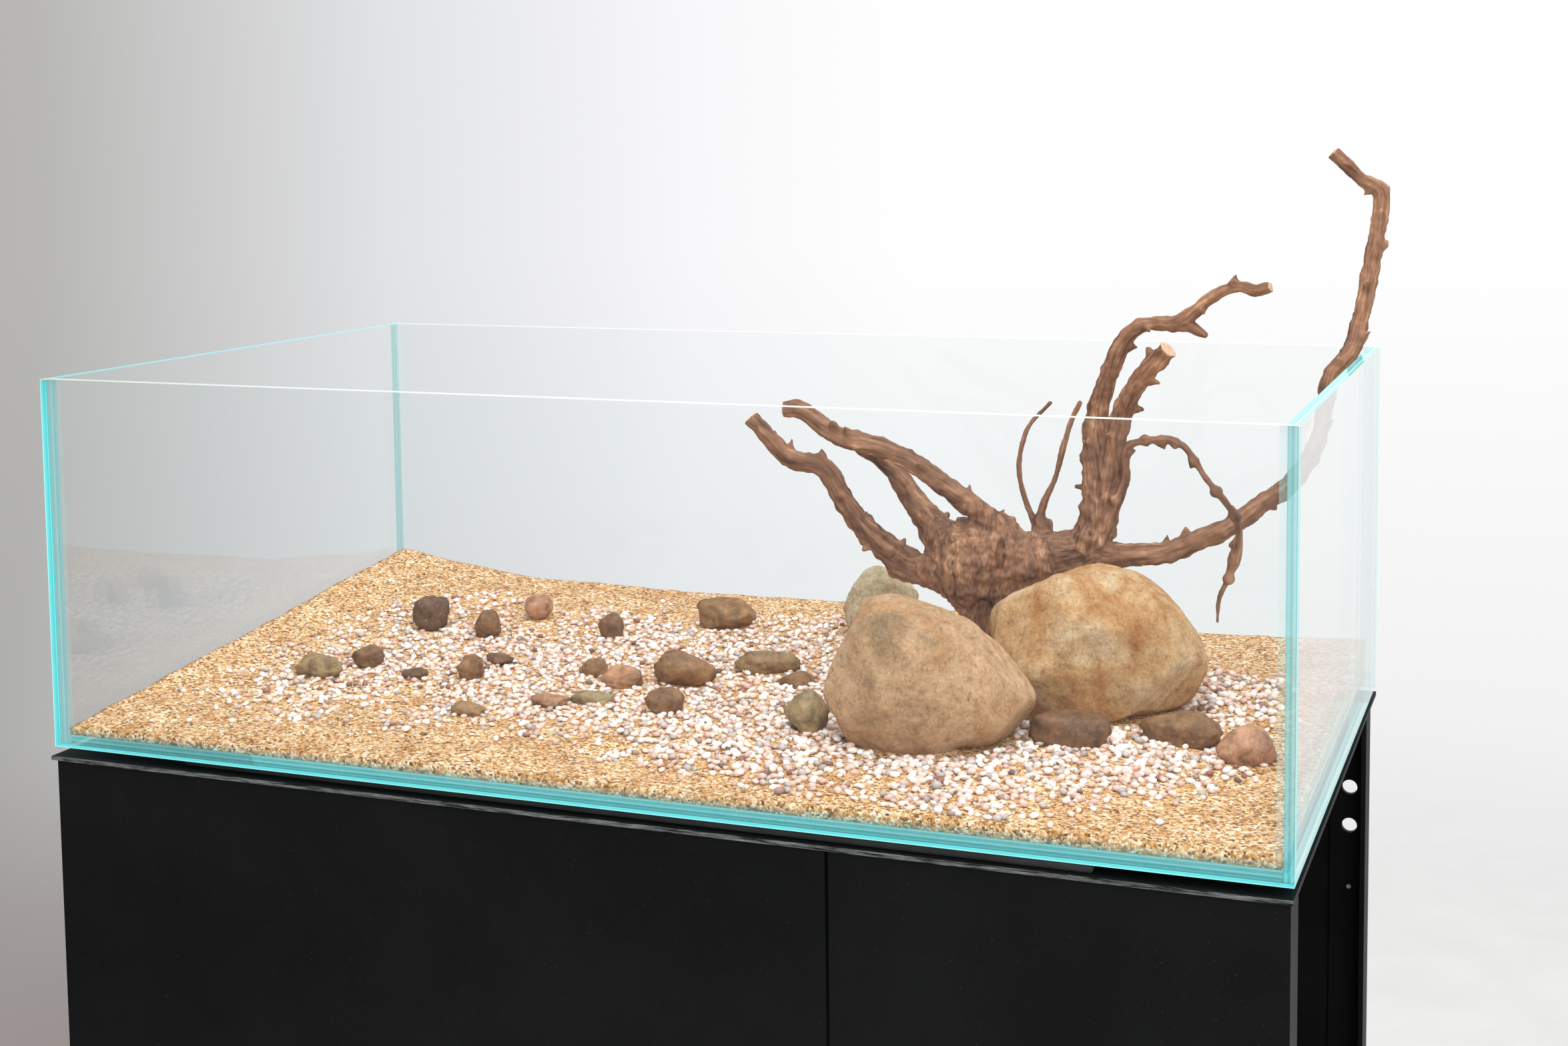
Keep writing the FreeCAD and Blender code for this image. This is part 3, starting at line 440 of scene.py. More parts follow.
for ring in range(len(MAT_PROFILE) - 1):
    for i in range(count):
        j = (i + 1) % count
        faces.append((ring * count + i, ring * count + j, (ring + 1) * count + j, (ring + 1) * count + i))
faces.append(tuple(range(count))[::-1])
faces.append(tuple(range((len(MAT_PROFILE) - 1) * count, len(MAT_PROFILE) * count)))
foam_mat = make_piece("foam_mat", points, faces, foam, ["cushion_mat"])

# %% [markdown]
# Aquarium sand is washed quartz, 1 to 2 mm across: mostly honey and cream grains with a few white and
# brown ones. The bed slopes from a thin front to a deep back left corner. The slope is a real mesh, so
# its outline and its small dunes are right from every side. Single grains are far too many for a
# mesh, so a cell pattern paints each grain its own tone and raises it. Its cells are 2.4 mm, coarser
# than the real grains, so that they show from two metres away.

# %% Sand
sand_paint, tree, shader, place = start_material("washed_quartz_sand")
grains = add_node(tree, "TexVoronoi", inputs={"Vector": place, "Scale": per_mm(2.4)})
grain_tone = add_node(tree, "SeparateColor", inputs={0: grains.outputs["Color"]})
grain_colour = add_node(tree, "ValToRGB", {}, {"Fac": grain_tone}, stops=(
    (0.0, "#5a3d22"), (1.0, "#fffaee"), (0.09, "#90622f"), (0.22, "#be8747"), (0.42, "#d6a569"),
    (0.66, "#e8c28d"), (0.84, "#f6e2bf")))
patches = add_node(tree, "TexNoise", inputs={
    "Vector": place, "Scale": per_mm(45), "Detail": 8.0, "Roughness": 0.72})
damp = add_node(tree, "ValToRGB", inputs={"Fac": patches}, stops=((0.36, "#d9bc98"), (0.60, "#ffffff")))
sand_mix = add_node(tree, "Mix", MULTIPLIED, {"Factor": 0.8, "A": grain_colour, "B": damp})
round_grain = add_node(tree, "Math", {"operation": "SUBTRACT"}, {0: 1.0, 1: grains})
bump = add_node(tree, "Bump", inputs={"Strength": 1.0, "Distance": 0.0016, "Height": round_grain})
set_inputs(tree, shader, {"Base Color": sand_mix, "Normal": bump, "Roughness": 0.72})

GLASS_GAP = 0.0005
base_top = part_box("base_glass")[1][2]
half_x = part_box("right_glass")[0][0] - GLASS_GAP
half_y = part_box("back_glass")[0][1] - GLASS_GAP
# Depth in millimetres at the front, middle and back, at places along the tank.
SAND_STATIONS = np.array((
    (-0.59, 7, 37, 71), (-0.52, 8, 31, 57), (-0.40, 9, 25, 45), (-0.20, 9, 22, 40), (0.0, 9, 23, 42),
    (0.30, 11, 22, 36), (0.45, 11, 21, 37), (0.59, 12, 21, 41)))


def sand_depth(x, y):
    """Depth of sand over the base pane, in metres."""
    front, middle, back = (np.interp(x, SAND_STATIONS[:, 0], SAND_STATIONS[:, k]) for k in (1, 2, 3))
    share = y / half_y
    slope = np.where(share < 0, middle + (middle - front) * share, middle + (back - middle) * share)
    return slope / 1000


def sand_top(x, y):
    """Height of the sand's surface with its small dunes."""
    dunes = noise.noise(Vector((x * 9, y * 9, 3))) * 0.0028
    dunes += noise.noise(Vector((x * 34, y * 34, 8))) * 0.0011
    ripples = noise.noise(Vector((x * 130, y * 130, 1))) * 0.0006
    return base_top + max(0.004, float(sand_depth(x, y)) + dunes + ripples)


columns, rows = 300, 160
points = []
for j in range(rows + 1):
    for i in range(columns + 1):
        x, y = -half_x + 2 * half_x * i / columns, -half_y + 2 * half_y * j / rows
        points.append((x, y, sand_top(x, y)))
faces = []
for j in range(rows):
    for i in range(columns):
        a = j * (columns + 1) + i
        faces.append((a, a + 1, a + columns + 2, a + columns + 1))
rim = list(range(columns + 1))
rim += [(j + 1) * (columns + 1) - 1 for j in range(1, rows + 1)]
rim += [rows * (columns + 1) + i for i in range(columns - 1, -1, -1)]
rim += [j * (columns + 1) for j in range(rows - 1, 0, -1)]
under = len(points)
points += [(points[k][0], points[k][1], base_top + 0.0002) for k in rim]
for i, top in enumerate(rim):
    j = (i + 1) % len(rim)
    faces.append((top, under + i, under + j, rim[j]))
faces.append(tuple(range(under, under + len(rim)))[::-1])
make_piece("quartz_sand", points, faces, sand_paint, ["sand_bed"])

# %% [markdown]
# Each stone's place and size come from its CAD solid. Several stones share one CAD node, so the node's
# mesh is first split into its separate islands.

# %% Stones in the CAD model


def islands(name):
    """The separate lumps of a CAD node, each as an array of its corner points."""
    mesh = frame["nodes"][name].data
    shape = bmesh.new()
    shape.from_mesh(mesh)
    bmesh.ops.remove_doubles(shape, verts=shape.verts, dist=1e-6)
    seen, lumps = set(), []
    for start in shape.verts:
        if start in seen:
            continue
        stack, lump = [start], []
        seen.add(start)
        while stack:
            vert = stack.pop()
            lump.append(vert.co[:])
            for edge in vert.link_edges:
                other = edge.other_vert(vert)
                if other not in seen:
                    seen.add(other)
                    stack.append(other)
        lumps.append(np.array(lump))
    shape.free()
    return lumps


STONE_NODES = ("river_stones_left", "river_stones_middle", "river_stones_right")
BOULDER_NODES = ("front_boulder", "right_boulder", "rear_boulder")
stones = {name: islands(name) for name in STONE_NODES + BOULDER_NODES}
for name, lumps in stones.items():
    print(name, len(lumps), "lumps")

# %% [markdown]
# A boulder is hard to describe as a sphere. What the eye knows is its outline, so each boulder starts
# as an outline of points seen from the front right, in millimetres from its middle. The outline is
# swept into depth like a bean: full in the middle and closing towards the front and back. Sixteen
# soft flats, from a fixed seed, stand for old breaks, noise adds pits, and a few listed dents follow.

# %% Boulder shapes
FRONT_OUTLINE = (
    (-102, 4), (-92, 32), (-76, 59), (-56, 71), (-35, 75), (-9, 70), (26, 52), (55, 33), (80, 12), (97, -17),
    (103, -40), (97, -54), (71, -63), (26, -71), (-20, -74), (-57, -74), (-76, -65), (-89, -40), (-99, -18))
RIGHT_OUTLINE = (
    (-112, 14), (-104, 28), (-78, 50), (-51, 66), (-27, 77), (0, 80), (31, 75), (58, 62), (82, 39), (99, 17),
    (110, -6), (111, -27), (104, -50), (86, -68), (51, -79), (10, -80), (-40, -76), (-82, -56), (-106, -22))
REAR_OUTLINE = (
    (-44, -8), (-40, 14), (-31, 33), (-12, 44), (10, 42), (30, 31), (42, 10), (44, -12), (36, -34), (10, -44),
    (-22, -43), (-40, -28))
# Dents: middle across and up, half width, half height, depth, all in millimetres.
FRONT_DENTS = (
    (-92, 12, 14, 22, 3.0), (30, -20, 30, 22, 2.2), (-40, -8, 20, 26, 2.0), (60, 6, 20, 12, 1.6))
RIGHT_DENTS = (
    (-42, -22, 14, 34, 6.5), (-20, 12, 16, 22, 3.5), (46, -58, 24, 12, 2.5), (84, -38, 14, 20, 2.0))
REAR_DENTS = ((10, 10, 12, 14, 2.0),)
BREAKS = 16


def unit_ball(subdivisions):
    """The corner points and the triangles of a ball of radius 1."""
    shape = bmesh.new()
    bmesh.ops.create_icosphere(shape, subdivisions=subdivisions, radius=1)
    points = np.array([v.co[:] for v in shape.verts])
    faces = [[v.index for v in f.verts] for f in shape.faces]
    shape.free()
    return points, faces


def outline_radius(outline, angles):
    """How far the outline is from its middle at each angle, with its corners a little rounded."""
    own = np.array(outline, dtype=float)
    turn = np.arctan2(own[:, 1], own[:, 0])
    reach = np.hypot(own[:, 0], own[:, 1])
    order = np.argsort(turn)
    turn, reach = turn[order], reach[order]
    turn = np.concatenate((turn - 2 * np.pi, turn, turn + 2 * np.pi))
    reach = np.tile(reach, 3)
    steps = np.linspace(-np.pi, np.pi, 361)
    total = sum(np.interp(steps + shift, turn, reach) for shift in (-0.10, -0.05, 0.0, 0.05, 0.10)) / 5
    return np.interp(angles, steps, total)


def sculpt_boulder(name, node, outline, dents, fullness, seed, material):
    """A boulder that fills its CAD solid's place, with the given outline towards the camera's side."""
    low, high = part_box(node)
    middle = (np.array(low) + np.array(high)) / 2
    depth = fullness * (stones[node][0][:, 1].max() - stones[node][0][:, 1].min()) / 2
    ball, faces = unit_ball(6)
    turn = math.atan2(right_axis.y, right_axis.x)
    sideways = np.array((math.cos(turn), math.sin(turn), 0))
    inward = np.array((-math.sin(turn), math.cos(turn), 0))
    reach = outline_radius(outline, np.arctan2(ball[:, 2], ball[:, 0])) / 1000
    away = ball[:, 1]
    spread = (1 - np.abs(away) ** 2.3) ** (1 / 2.3)
    flat = np.hypot(ball[:, 0], ball[:, 2]) + 1e-9
    u = ball[:, 0] / flat * spread * reach
    w = ball[:, 2] / flat * spread * reach
    d = away * depth
    points = middle + u[:, None] * sideways + d[:, None] * inward + w[:, None] * np.array((0, 0, 1.0))
    breaks = random.Random(int(seed * 10))
    for _ in range(BREAKS):
        way = Vector((breaks.gauss(0, 1), breaks.gauss(-0.3, 1), breaks.gauss(0.1, 1)))
        way = np.array(way.normalized())
        heights = (points - middle) @ way
        over = np.maximum(0, heights - heights.max() * breaks.uniform(0.84, 0.94))
        points = points - over[:, None] * way * 0.8
    out = points - middle
    out /= np.linalg.norm(out, axis=1)[:, None]
    moved = np.zeros(len(points))
    for i, p in enumerate(points):
        q = Vector(p) + Vector((seed, seed * 2, 0))
        facets = noise.noise(q * 17) * 0.0040 + noise.noise(q * 38) * 0.0022
        pits = noise.noise(q * 110) * 0.0009 + noise.noise(q * 240) * 0.0006
        moved[i] = facets + pits - 0.0015
    for across, up, wide, tall, deep in dents:
        front = np.clip(-ball[:, 1] * 2 + 0.4, 0, 1)
        hollow = np.exp(-((u * 1000 - across) / wide) ** 2 - ((w * 1000 - up) / tall) ** 2)
        moved -= hollow * front * deep / 1000
    points = points + out * moved[:, None]
    return make_piece(name, points, faces, material, [node])


print("outlines:", len(FRONT_OUTLINE), len(RIGHT_OUTLINE), len(REAR_OUTLINE), "points")

# %% [markdown]
# The boulders are weathered sandstone-like stone with a tan skin. Rain and iron paint it in broad
# patches from cream to ochre, with rusty streaks, and fine dark pits and pale flecks lie on top. The
# pattern is mixed from six sizes of noise: patches of 62 mm, streaks of 28 mm, a crust of 13 mm,
# flecks of 9 mm, pits of 7 mm and grain of 3 mm.

# %% Boulder stone


def weathered_stone(name, colours, streak_colour, streak_amount, seed):
    """Tan field stone: patches, rusty streaks, pits and pale flecks."""
    material, tree, shader, place = start_material(name)
    spot = add_node(tree, "Mapping", inputs={"Vector": place, "Location": (seed, seed, seed)})
    patches = add_node(tree, "TexNoise", inputs={
        "Vector": spot, "Scale": per_mm(62), "Detail": 7.0, "Roughness": 0.62, "Distortion": 0.6})
    colour = add_node(tree, "ValToRGB", inputs={"Fac": patches}, stops=colours)
    upright = add_node(tree, "Mapping", inputs={"Vector": spot, "Scale": (1.0, 1.0, 0.35)})
    streaks = add_node(tree, "TexNoise", inputs={
        "Vector": upright, "Scale": per_mm(28), "Detail": 6.0, "Distortion": 0.8})
    streak_mask = add_node(tree, "MapRange", inputs={
        "Value": streaks, "From Min": 0.50, "From Max": 0.68, "To Max": streak_amount})
    rusty = add_node(tree, "Mix", COLOURS, {"Factor": streak_mask, "A": colour, "B": streak_colour})
    grain = add_node(tree, "TexNoise", inputs={
        "Vector": spot, "Scale": per_mm(3.0), "Detail": 8.0, "Roughness": 0.85})
    speckle = add_node(tree, "ValToRGB", inputs={"Fac": grain},
                       stops=((0.34, "#86705a"), (0.62, "#fffdf6"), (0.46, "#e0d6c9")))
    mixed = add_node(tree, "Mix", MULTIPLIED, {"Factor": 0.75, "A": rusty, "B": speckle})
    crust = add_node(tree, "TexNoise", inputs={
        "Vector": spot, "Scale": per_mm(13), "Detail": 9.0, "Roughness": 0.78, "Distortion": 0.4})
    crust_tone = add_node(tree, "ValToRGB", inputs={"Fac": crust},
                          stops=((0.36, "#a98a68"), (0.58, "#ffffff"), (0.47, "#ecdfd0")))
    crusted = add_node(tree, "Mix", MULTIPLIED, {"Factor": 0.62, "A": mixed, "B": crust_tone})
    pit_cells = add_node(tree, "TexNoise", inputs={
        "Vector": spot, "Scale": per_mm(7), "Detail": 4.0, "Roughness": 0.7})
    pit_mask = add_node(tree, "MapRange", inputs={
        "Value": pit_cells, "From Min": 0.66, "From Max": 0.74, "To Max": 0.75})
    pitted = add_node(tree, "Mix", COLOURS, {"Factor": pit_mask, "A": crusted, "B": "#5e4327"})
    flecks = add_node(tree, "TexNoise", inputs={
        "Vector": spot, "Scale": per_mm(9), "Detail": 8.0, "Roughness": 0.8})
    fleck_mask = add_node(tree, "MapRange", inputs={
        "Value": flecks, "From Min": 0.62, "From Max": 0.68, "To Max": 0.6})
    flecked = add_node(tree, "Mix", COLOURS, {"Factor": fleck_mask, "A": pitted, "B": "#f4ead9"})
    rough_skin = add_node(tree, "Math", {"operation": "MULTIPLY_ADD"}, {0: crust, 1: 3.0, 2: grain})
    relief = add_node(tree, "Math", {"operation": "SUBTRACT"}, {0: rough_skin, 1: pit_mask})
    bump = add_node(tree, "Bump", inputs={"Strength": 0.85, "Distance": 0.0018, "Height": relief})
    set_inputs(tree, shader, {"Base Color": flecked, "Normal": bump, "Roughness": 0.82})
    return material


front_stone = weathered_stone("weathered_tan_fieldstone", (
    (0.30, "#b59c7c"), (0.72, "#fcecd6"), (0.42, "#dab893"), (0.52, "#efcba6"), (0.62, "#f5d7b6")),
    "#d9a26c", 0.5, 0.0)
right_stone = weathered_stone("rust_streaked_fieldstone", (
    (0.30, "#c9955f"), (0.72, "#fff0dc"), (0.42, "#e2b27e"), (0.52, "#f0c998"), (0.62, "#f8dfbc")),
    "#c98a4b", 0.65, 3.7)
rear_stone = weathered_stone("lichen_green_fieldstone", (
    (0.30, "#c2b692"), (0.72, "#fdf5e4"), (0.45, "#ddd0b0"), (0.58, "#efe3c8")), "#cdb98f", 0.4, 7.1)
sculpt_boulder("front_boulder_stone", "front_boulder", FRONT_OUTLINE, FRONT_DENTS, 0.96, 1.3, front_stone)
sculpt_boulder("right_boulder_stone", "right_boulder", RIGHT_OUTLINE, RIGHT_DENTS, 0.94, 4.1, right_stone)
sculpt_boulder("rear_boulder_stone", "rear_boulder", REAR_OUTLINE, REAR_DENTS, 0.98, 8.7, rear_stone)

# %% [markdown]
# River stones are worn smooth by water, so they have no sharp edge but are never quite even. Each one
# is a ball stretched to its CAD solid's size, turned with it, flattened on nine sides where it once
# broke, and pressed by noise. A number from 0 to 1 is stored with every stone, and the material turns
# it into its colour, from dark brown to olive and pink.

# %% River stones
river, tree, shader, place = start_material("water_worn_river_stone")
tone = add_node(tree, "Attribute", {"attribute_name": "stone_tone"})
own_colour = add_node(tree, "ValToRGB", {}, {"Fac": tone.outputs["Fac"]}, stops=(
    (0.0, "#5c4a3b"), (1.0, "#c99c82"), (0.2, "#7d5b41"), (0.4, "#a17b54"), (0.6, "#aa9a75"),
    (0.8, "#bd8f6e")))
mottle = add_node(tree, "TexNoise", inputs={
    "Vector": place, "Scale": per_mm(15), "Detail": 8.0, "Roughness": 0.75, "Distortion": 0.5})
mottle_colour = add_node(tree, "ValToRGB", inputs={"Fac": mottle},
                         stops=((0.34, "#6f5b4a"), (0.64, "#fff4e2")))
mixed = add_node(tree, "Mix", MULTIPLIED, {"Factor": 0.85, "A": own_colour, "B": mottle_colour})
grain = add_node(tree, "TexNoise", inputs={
    "Vector": place, "Scale": per_mm(1.8), "Detail": 4.0, "Roughness": 0.7})
spots = add_node(tree, "MapRange", inputs={
    "Value": grain, "From Min": 0.60, "From Max": 0.72, "To Max": 0.4})
spotted = add_node(tree, "Mix", COLOURS, {"Factor": spots, "A": mixed, "B": "#d8c3a0"})
bump = add_node(tree, "Bump", inputs={"Strength": 0.8, "Distance": 0.0015, "Height": mottle})
set_inputs(tree, shader, {"Base Color": spotted, "Normal": bump, "Roughness": 0.58})

WORN_FLATS = 9
# One tone for each stone, in the order of the CAD solids from left to right.
TONES = {
    "river_stones_left": (0.52, 0.12, 0.30, 0.28, 0.15, 0.92, 0.35, 0.22, 0.45),
    "river_stones_middle": (0.25, 0.40, 0.78, 0.60, 0.85, 0.42, 0.38, 0.30, 0.48, 0.35, 0.62),
    "river_stones_right": (0.22, 0.33, 0.95),
}


def water_worn(lump, seed):
    """A smooth stone in the place of one lump: its points, its faces."""
    low, high = lump.min(0), lump.max(0)
    middle = (low + high) / 2
    flat = (lump - middle)[:, :2]
    long_axis = np.linalg.eigh(flat.T @ flat)[1][:, 1]
    across = np.array((-long_axis[1], long_axis[0]))
    half = np.array((np.abs(flat @ long_axis).max(), np.abs(flat @ across).max(), (high - low)[2] / 2))
    chips = random.Random(seed)
    flats = []
    for _ in range(WORN_FLATS):
        way = Vector((chips.gauss(0, 1), chips.gauss(0, 1), chips.gauss(0.4, 1))).normalized()
        flats.append((np.array(way), chips.uniform(0.68, 0.92)))
    balls, faces = unit_ball(4)
    points = []
    for ball in balls:
        square = ball / (np.abs(ball) ** 2.2).sum() ** (1 / 2.2)
        for face_way, reach in flats:
            square -= face_way * max(0.0, square @ face_way - reach) * 0.85
        q = Vector(ball * 1.2) + Vector((seed * 3.1, seed, 0))
        press = 1.02 + 0.18 * noise.noise(q) + 0.10 * noise.noise(q * 3) + 0.04 * noise.noise(q * 8)
        own = square * half * press
        x, y = own[0] * long_axis + own[1] * across
        points.append((middle[0] + x, middle[1] + y, middle[2] + own[2]))
    return points, faces


for name in STONE_NODES:
    points, faces, tones = [], [], []
    lumps = sorted(stones[name], key=lambda lump: lump[:, 0].mean())
    for k, lump in enumerate(lumps):
        own_points, own_faces = water_worn(lump, k + len(name))
        faces += [[i + len(points) for i in face] for face in own_faces]
        points += own_points
        tones += [TONES[name][k]] * len(own_points)
    piece = make_piece(name + "_worn", points, faces, river, [name])
    store(piece, "stone_tone", tones)

# %% [markdown]
# The pebbles are 6 to 13 mm long, mostly white, cream and pink. They are scattered from a fixed seed
# over a marked area, closer together towards its middle and larger near the boulders. Under a stone
# there are none, apart from a few tucked under its rim. Each pebble is a small flattened ball with its
# own turn, size and tone. They are split into four pieces along the tank, so that none gets too heavy.

# %% Pebbles
pebble_paint, tree, shader, place = start_material("washed_mixed_pebbles")
tone = add_node(tree, "Attribute", {"attribute_name": "pebble_tone"})
colour = add_node(tree, "ValToRGB", {}, {"Fac": tone.outputs["Fac"]}, stops=(
    (0.0, "#6b625c"), (1.0, "#ffffff"), (0.02, "#a06552"), (0.05, "#b9b2ae"), (0.14, "#cabfba"),
    (0.22, "#dfb9aa"), (0.40, "#f0d3c5"), (0.58, "#f8e9df"), (0.78, "#fdf8f2")))
veins = add_node(tree, "TexNoise", inputs={"Vector": place, "Scale": per_mm(3.5), "Detail": 4.0})
vein_tone = add_node(tree, "ValToRGB", inputs={"Fac": veins},
                     stops=((0.3, "#e6dcd6"), (0.65, "#ffffff")))
mixed = add_node(tree, "Mix", MULTIPLIED, {"Factor": 0.7, "A": colour, "B": vein_tone})
bump = add_node(tree, "Bump", inputs={"Strength": 0.25, "Distance": 0.0004, "Height": veins})
set_inputs(tree, shader, {"Base Color": mixed, "Normal": bump, "Roughness": 0.5})

# The strewn area's edge, in metres, walked round from the front left.
STREWN = np.array((
    (-0.54, -0.22), (-0.54, -0.08), (-0.53, 0.06), (-0.49, 0.18), (-0.43, 0.235), (-0.30, 0.235),
    (-0.165, 0.24), (-0.05, 0.25), (0.12, 0.24), (0.30, 0.21), (0.44, 0.185), (0.525, 0.16), (0.535, 0.05),
    (0.54, -0.07), (0.535, -0.15), (0.49, -0.22), (0.44, -0.255), (0.39, -0.295), (0.33, -0.308),
    (0.268, -0.305), (0.18, -0.30), (0.085, -0.276), (-0.03, -0.263), (-0.12, -0.246), (-0.21, -0.238),
    (-0.33, -0.249), (-0.43, -0.254), (-0.50, -0.262)))


def edge_distance(x, y):
    """How deep a place lies in the strewn area, in metres. It is negative outside."""
    a, b = STREWN, np.roll(STREWN, -1, axis=0)
    p = np.array((x, y))
    span = b - a
    share = np.clip(((p - a) * span).sum(1) / (span ** 2).sum(1), 0, 1)
    gap = np.hypot(*(a + share[:, None] * span - p).T).min()
    straddles = (a[:, 1] > y) != (b[:, 1] > y)
    crossing = span[:, 0] * (y - a[:, 1]) / (span[:, 1] + 1e-12) + a[:, 0]
    return gap if (straddles & (x < crossing)).sum() % 2 else -gap


footprints = []
for lumps in stones.values():
    for lump in lumps:
        middle = (lump.min(0) + lump.max(0)) / 2
        flat = (lump - middle)[:, :2]
        axes = np.linalg.eigh(flat.T @ flat)[1]
        half = np.abs(flat @ axes).max(0)
        footprints.append((middle[:2], axes, half))


def in_stone(x, y, grow):
    """True if a place is under a stone, with the stone's outline grown or shrunk by a share."""
    for middle, axes, half in footprints:
        own = (np.array((x, y)) - middle) @ axes / (half * grow)
        if own @ own < 1:
            return True
    return False


boulder_boxes = [np.array(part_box(name))[:, :2] for name in BOULDER_NODES[:2]]
boulder_middles = [(low + high) / 2 for low, high in boulder_boxes]
# The sown field, in metres: its length, its depth and its front left corner. Then the pebbles' spacing.
FIELD_LENGTH, FIELD_DEPTH, FIELD_X, FIELD_Y = 1.12, 0.60, -0.56, -0.318
SPACING = 0.0076
WALL_GAP = 0.008
dice = random.Random(41)
pebbles = []
for i in range(int(FIELD_LENGTH / SPACING)):
    for j in range(int(FIELD_DEPTH / SPACING)):
        x = FIELD_X + (i + dice.random() * 1.3) * SPACING
        y = FIELD_Y + (j + dice.random() * 1.3) * SPACING
        deep = edge_distance(x, y)
        clump = noise.noise(Vector((x * 11, y * 11, 5))) + 0.6 * noise.noise(Vector((x * 30, y * 30, 2)))
        near = min(float(np.hypot(*(np.array((x, y)) - m))) for m in boulder_middles)
        chance = 0.30 + 6.5 * deep + 0.75 * clump + 0.55 * max(0.0, 1 - near / 0.30)
        if x < -0.1:
            chance -= 0.18 + 0.3 * max(0.0, -0.3 - x)
        chance = min(0.94, chance) if deep > 0 else 0.08 + 3 * deep + 0.1 * clump
        if dice.random() > chance or abs(x) > half_x - WALL_GAP or abs(y) > half_y - WALL_GAP:
            continue
        if in_stone(x, y, 0.80):
            continue
        coarse = max(0.0, 1 - near / 0.34)
        length = dice.uniform(0.0060, 0.0098) * (1 + 0.30 * coarse * dice.random() + 0.10 * coarse)
        pebbles.append((x, y, length, dice.random()))
print("pebbles:", len(pebbles))

ball, ball_faces = unit_ball(1)
ball_faces = np.array(ball_faces)
pebbles.sort()
PIECES = 4
share = math.ceil(len(pebbles) / PIECES)
for part in range(PIECES):
    points, faces, tones = [], [], []
    for x, y, length, tone_value in pebbles[part * share:(part + 1) * share]:
        wide, thick = dice.uniform(0.62, 0.92), dice.uniform(0.42, 0.66)
        bumpy = ball * (1 + np.array([dice.uniform(-0.10, 0.10) for k in range(len(ball))])[:, None])
        own = bumpy * np.array((length / 2, length * wide / 2, length * thick / 2))
        lean = Matrix.Rotation(dice.uniform(0, 6.283), 3, "Z")
        lean = lean @ Matrix.Rotation(dice.gauss(0, 0.28), 3, "X")
        lean = lean @ Matrix.Rotation(dice.gauss(0, 0.22), 3, "Y")
        own = own @ np.array(lean).T
        lift = sand_top(x, y) + length * thick * dice.uniform(0.12, 0.55)
        faces.append(ball_faces + len(points) * len(ball))
        points.append(own + np.array((x, y, lift)))
        tones.append(np.full(len(ball), tone_value))
    piece = make_piece(f"pebbles_{part + 1}", np.concatenate(points), np.concatenate(faces), pebble_paint,
                       ["pebble_layer"] if part == 0 else ())
    store(piece, "pebble_tone", np.concatenate(tones))

# %% [markdown]
# The root wood has one thick trunk and twelve limbs and knobs. Each is a list of stations: x, y, height
# over the base pane, and radius, all in millimetres. A smooth curve through the stations gives the
# middle line, and a tube of rings around it gives the limb. Two more entries, web and wedge, fill the
# heart where the limbs meet. Small thorns are added from a fixed seed.

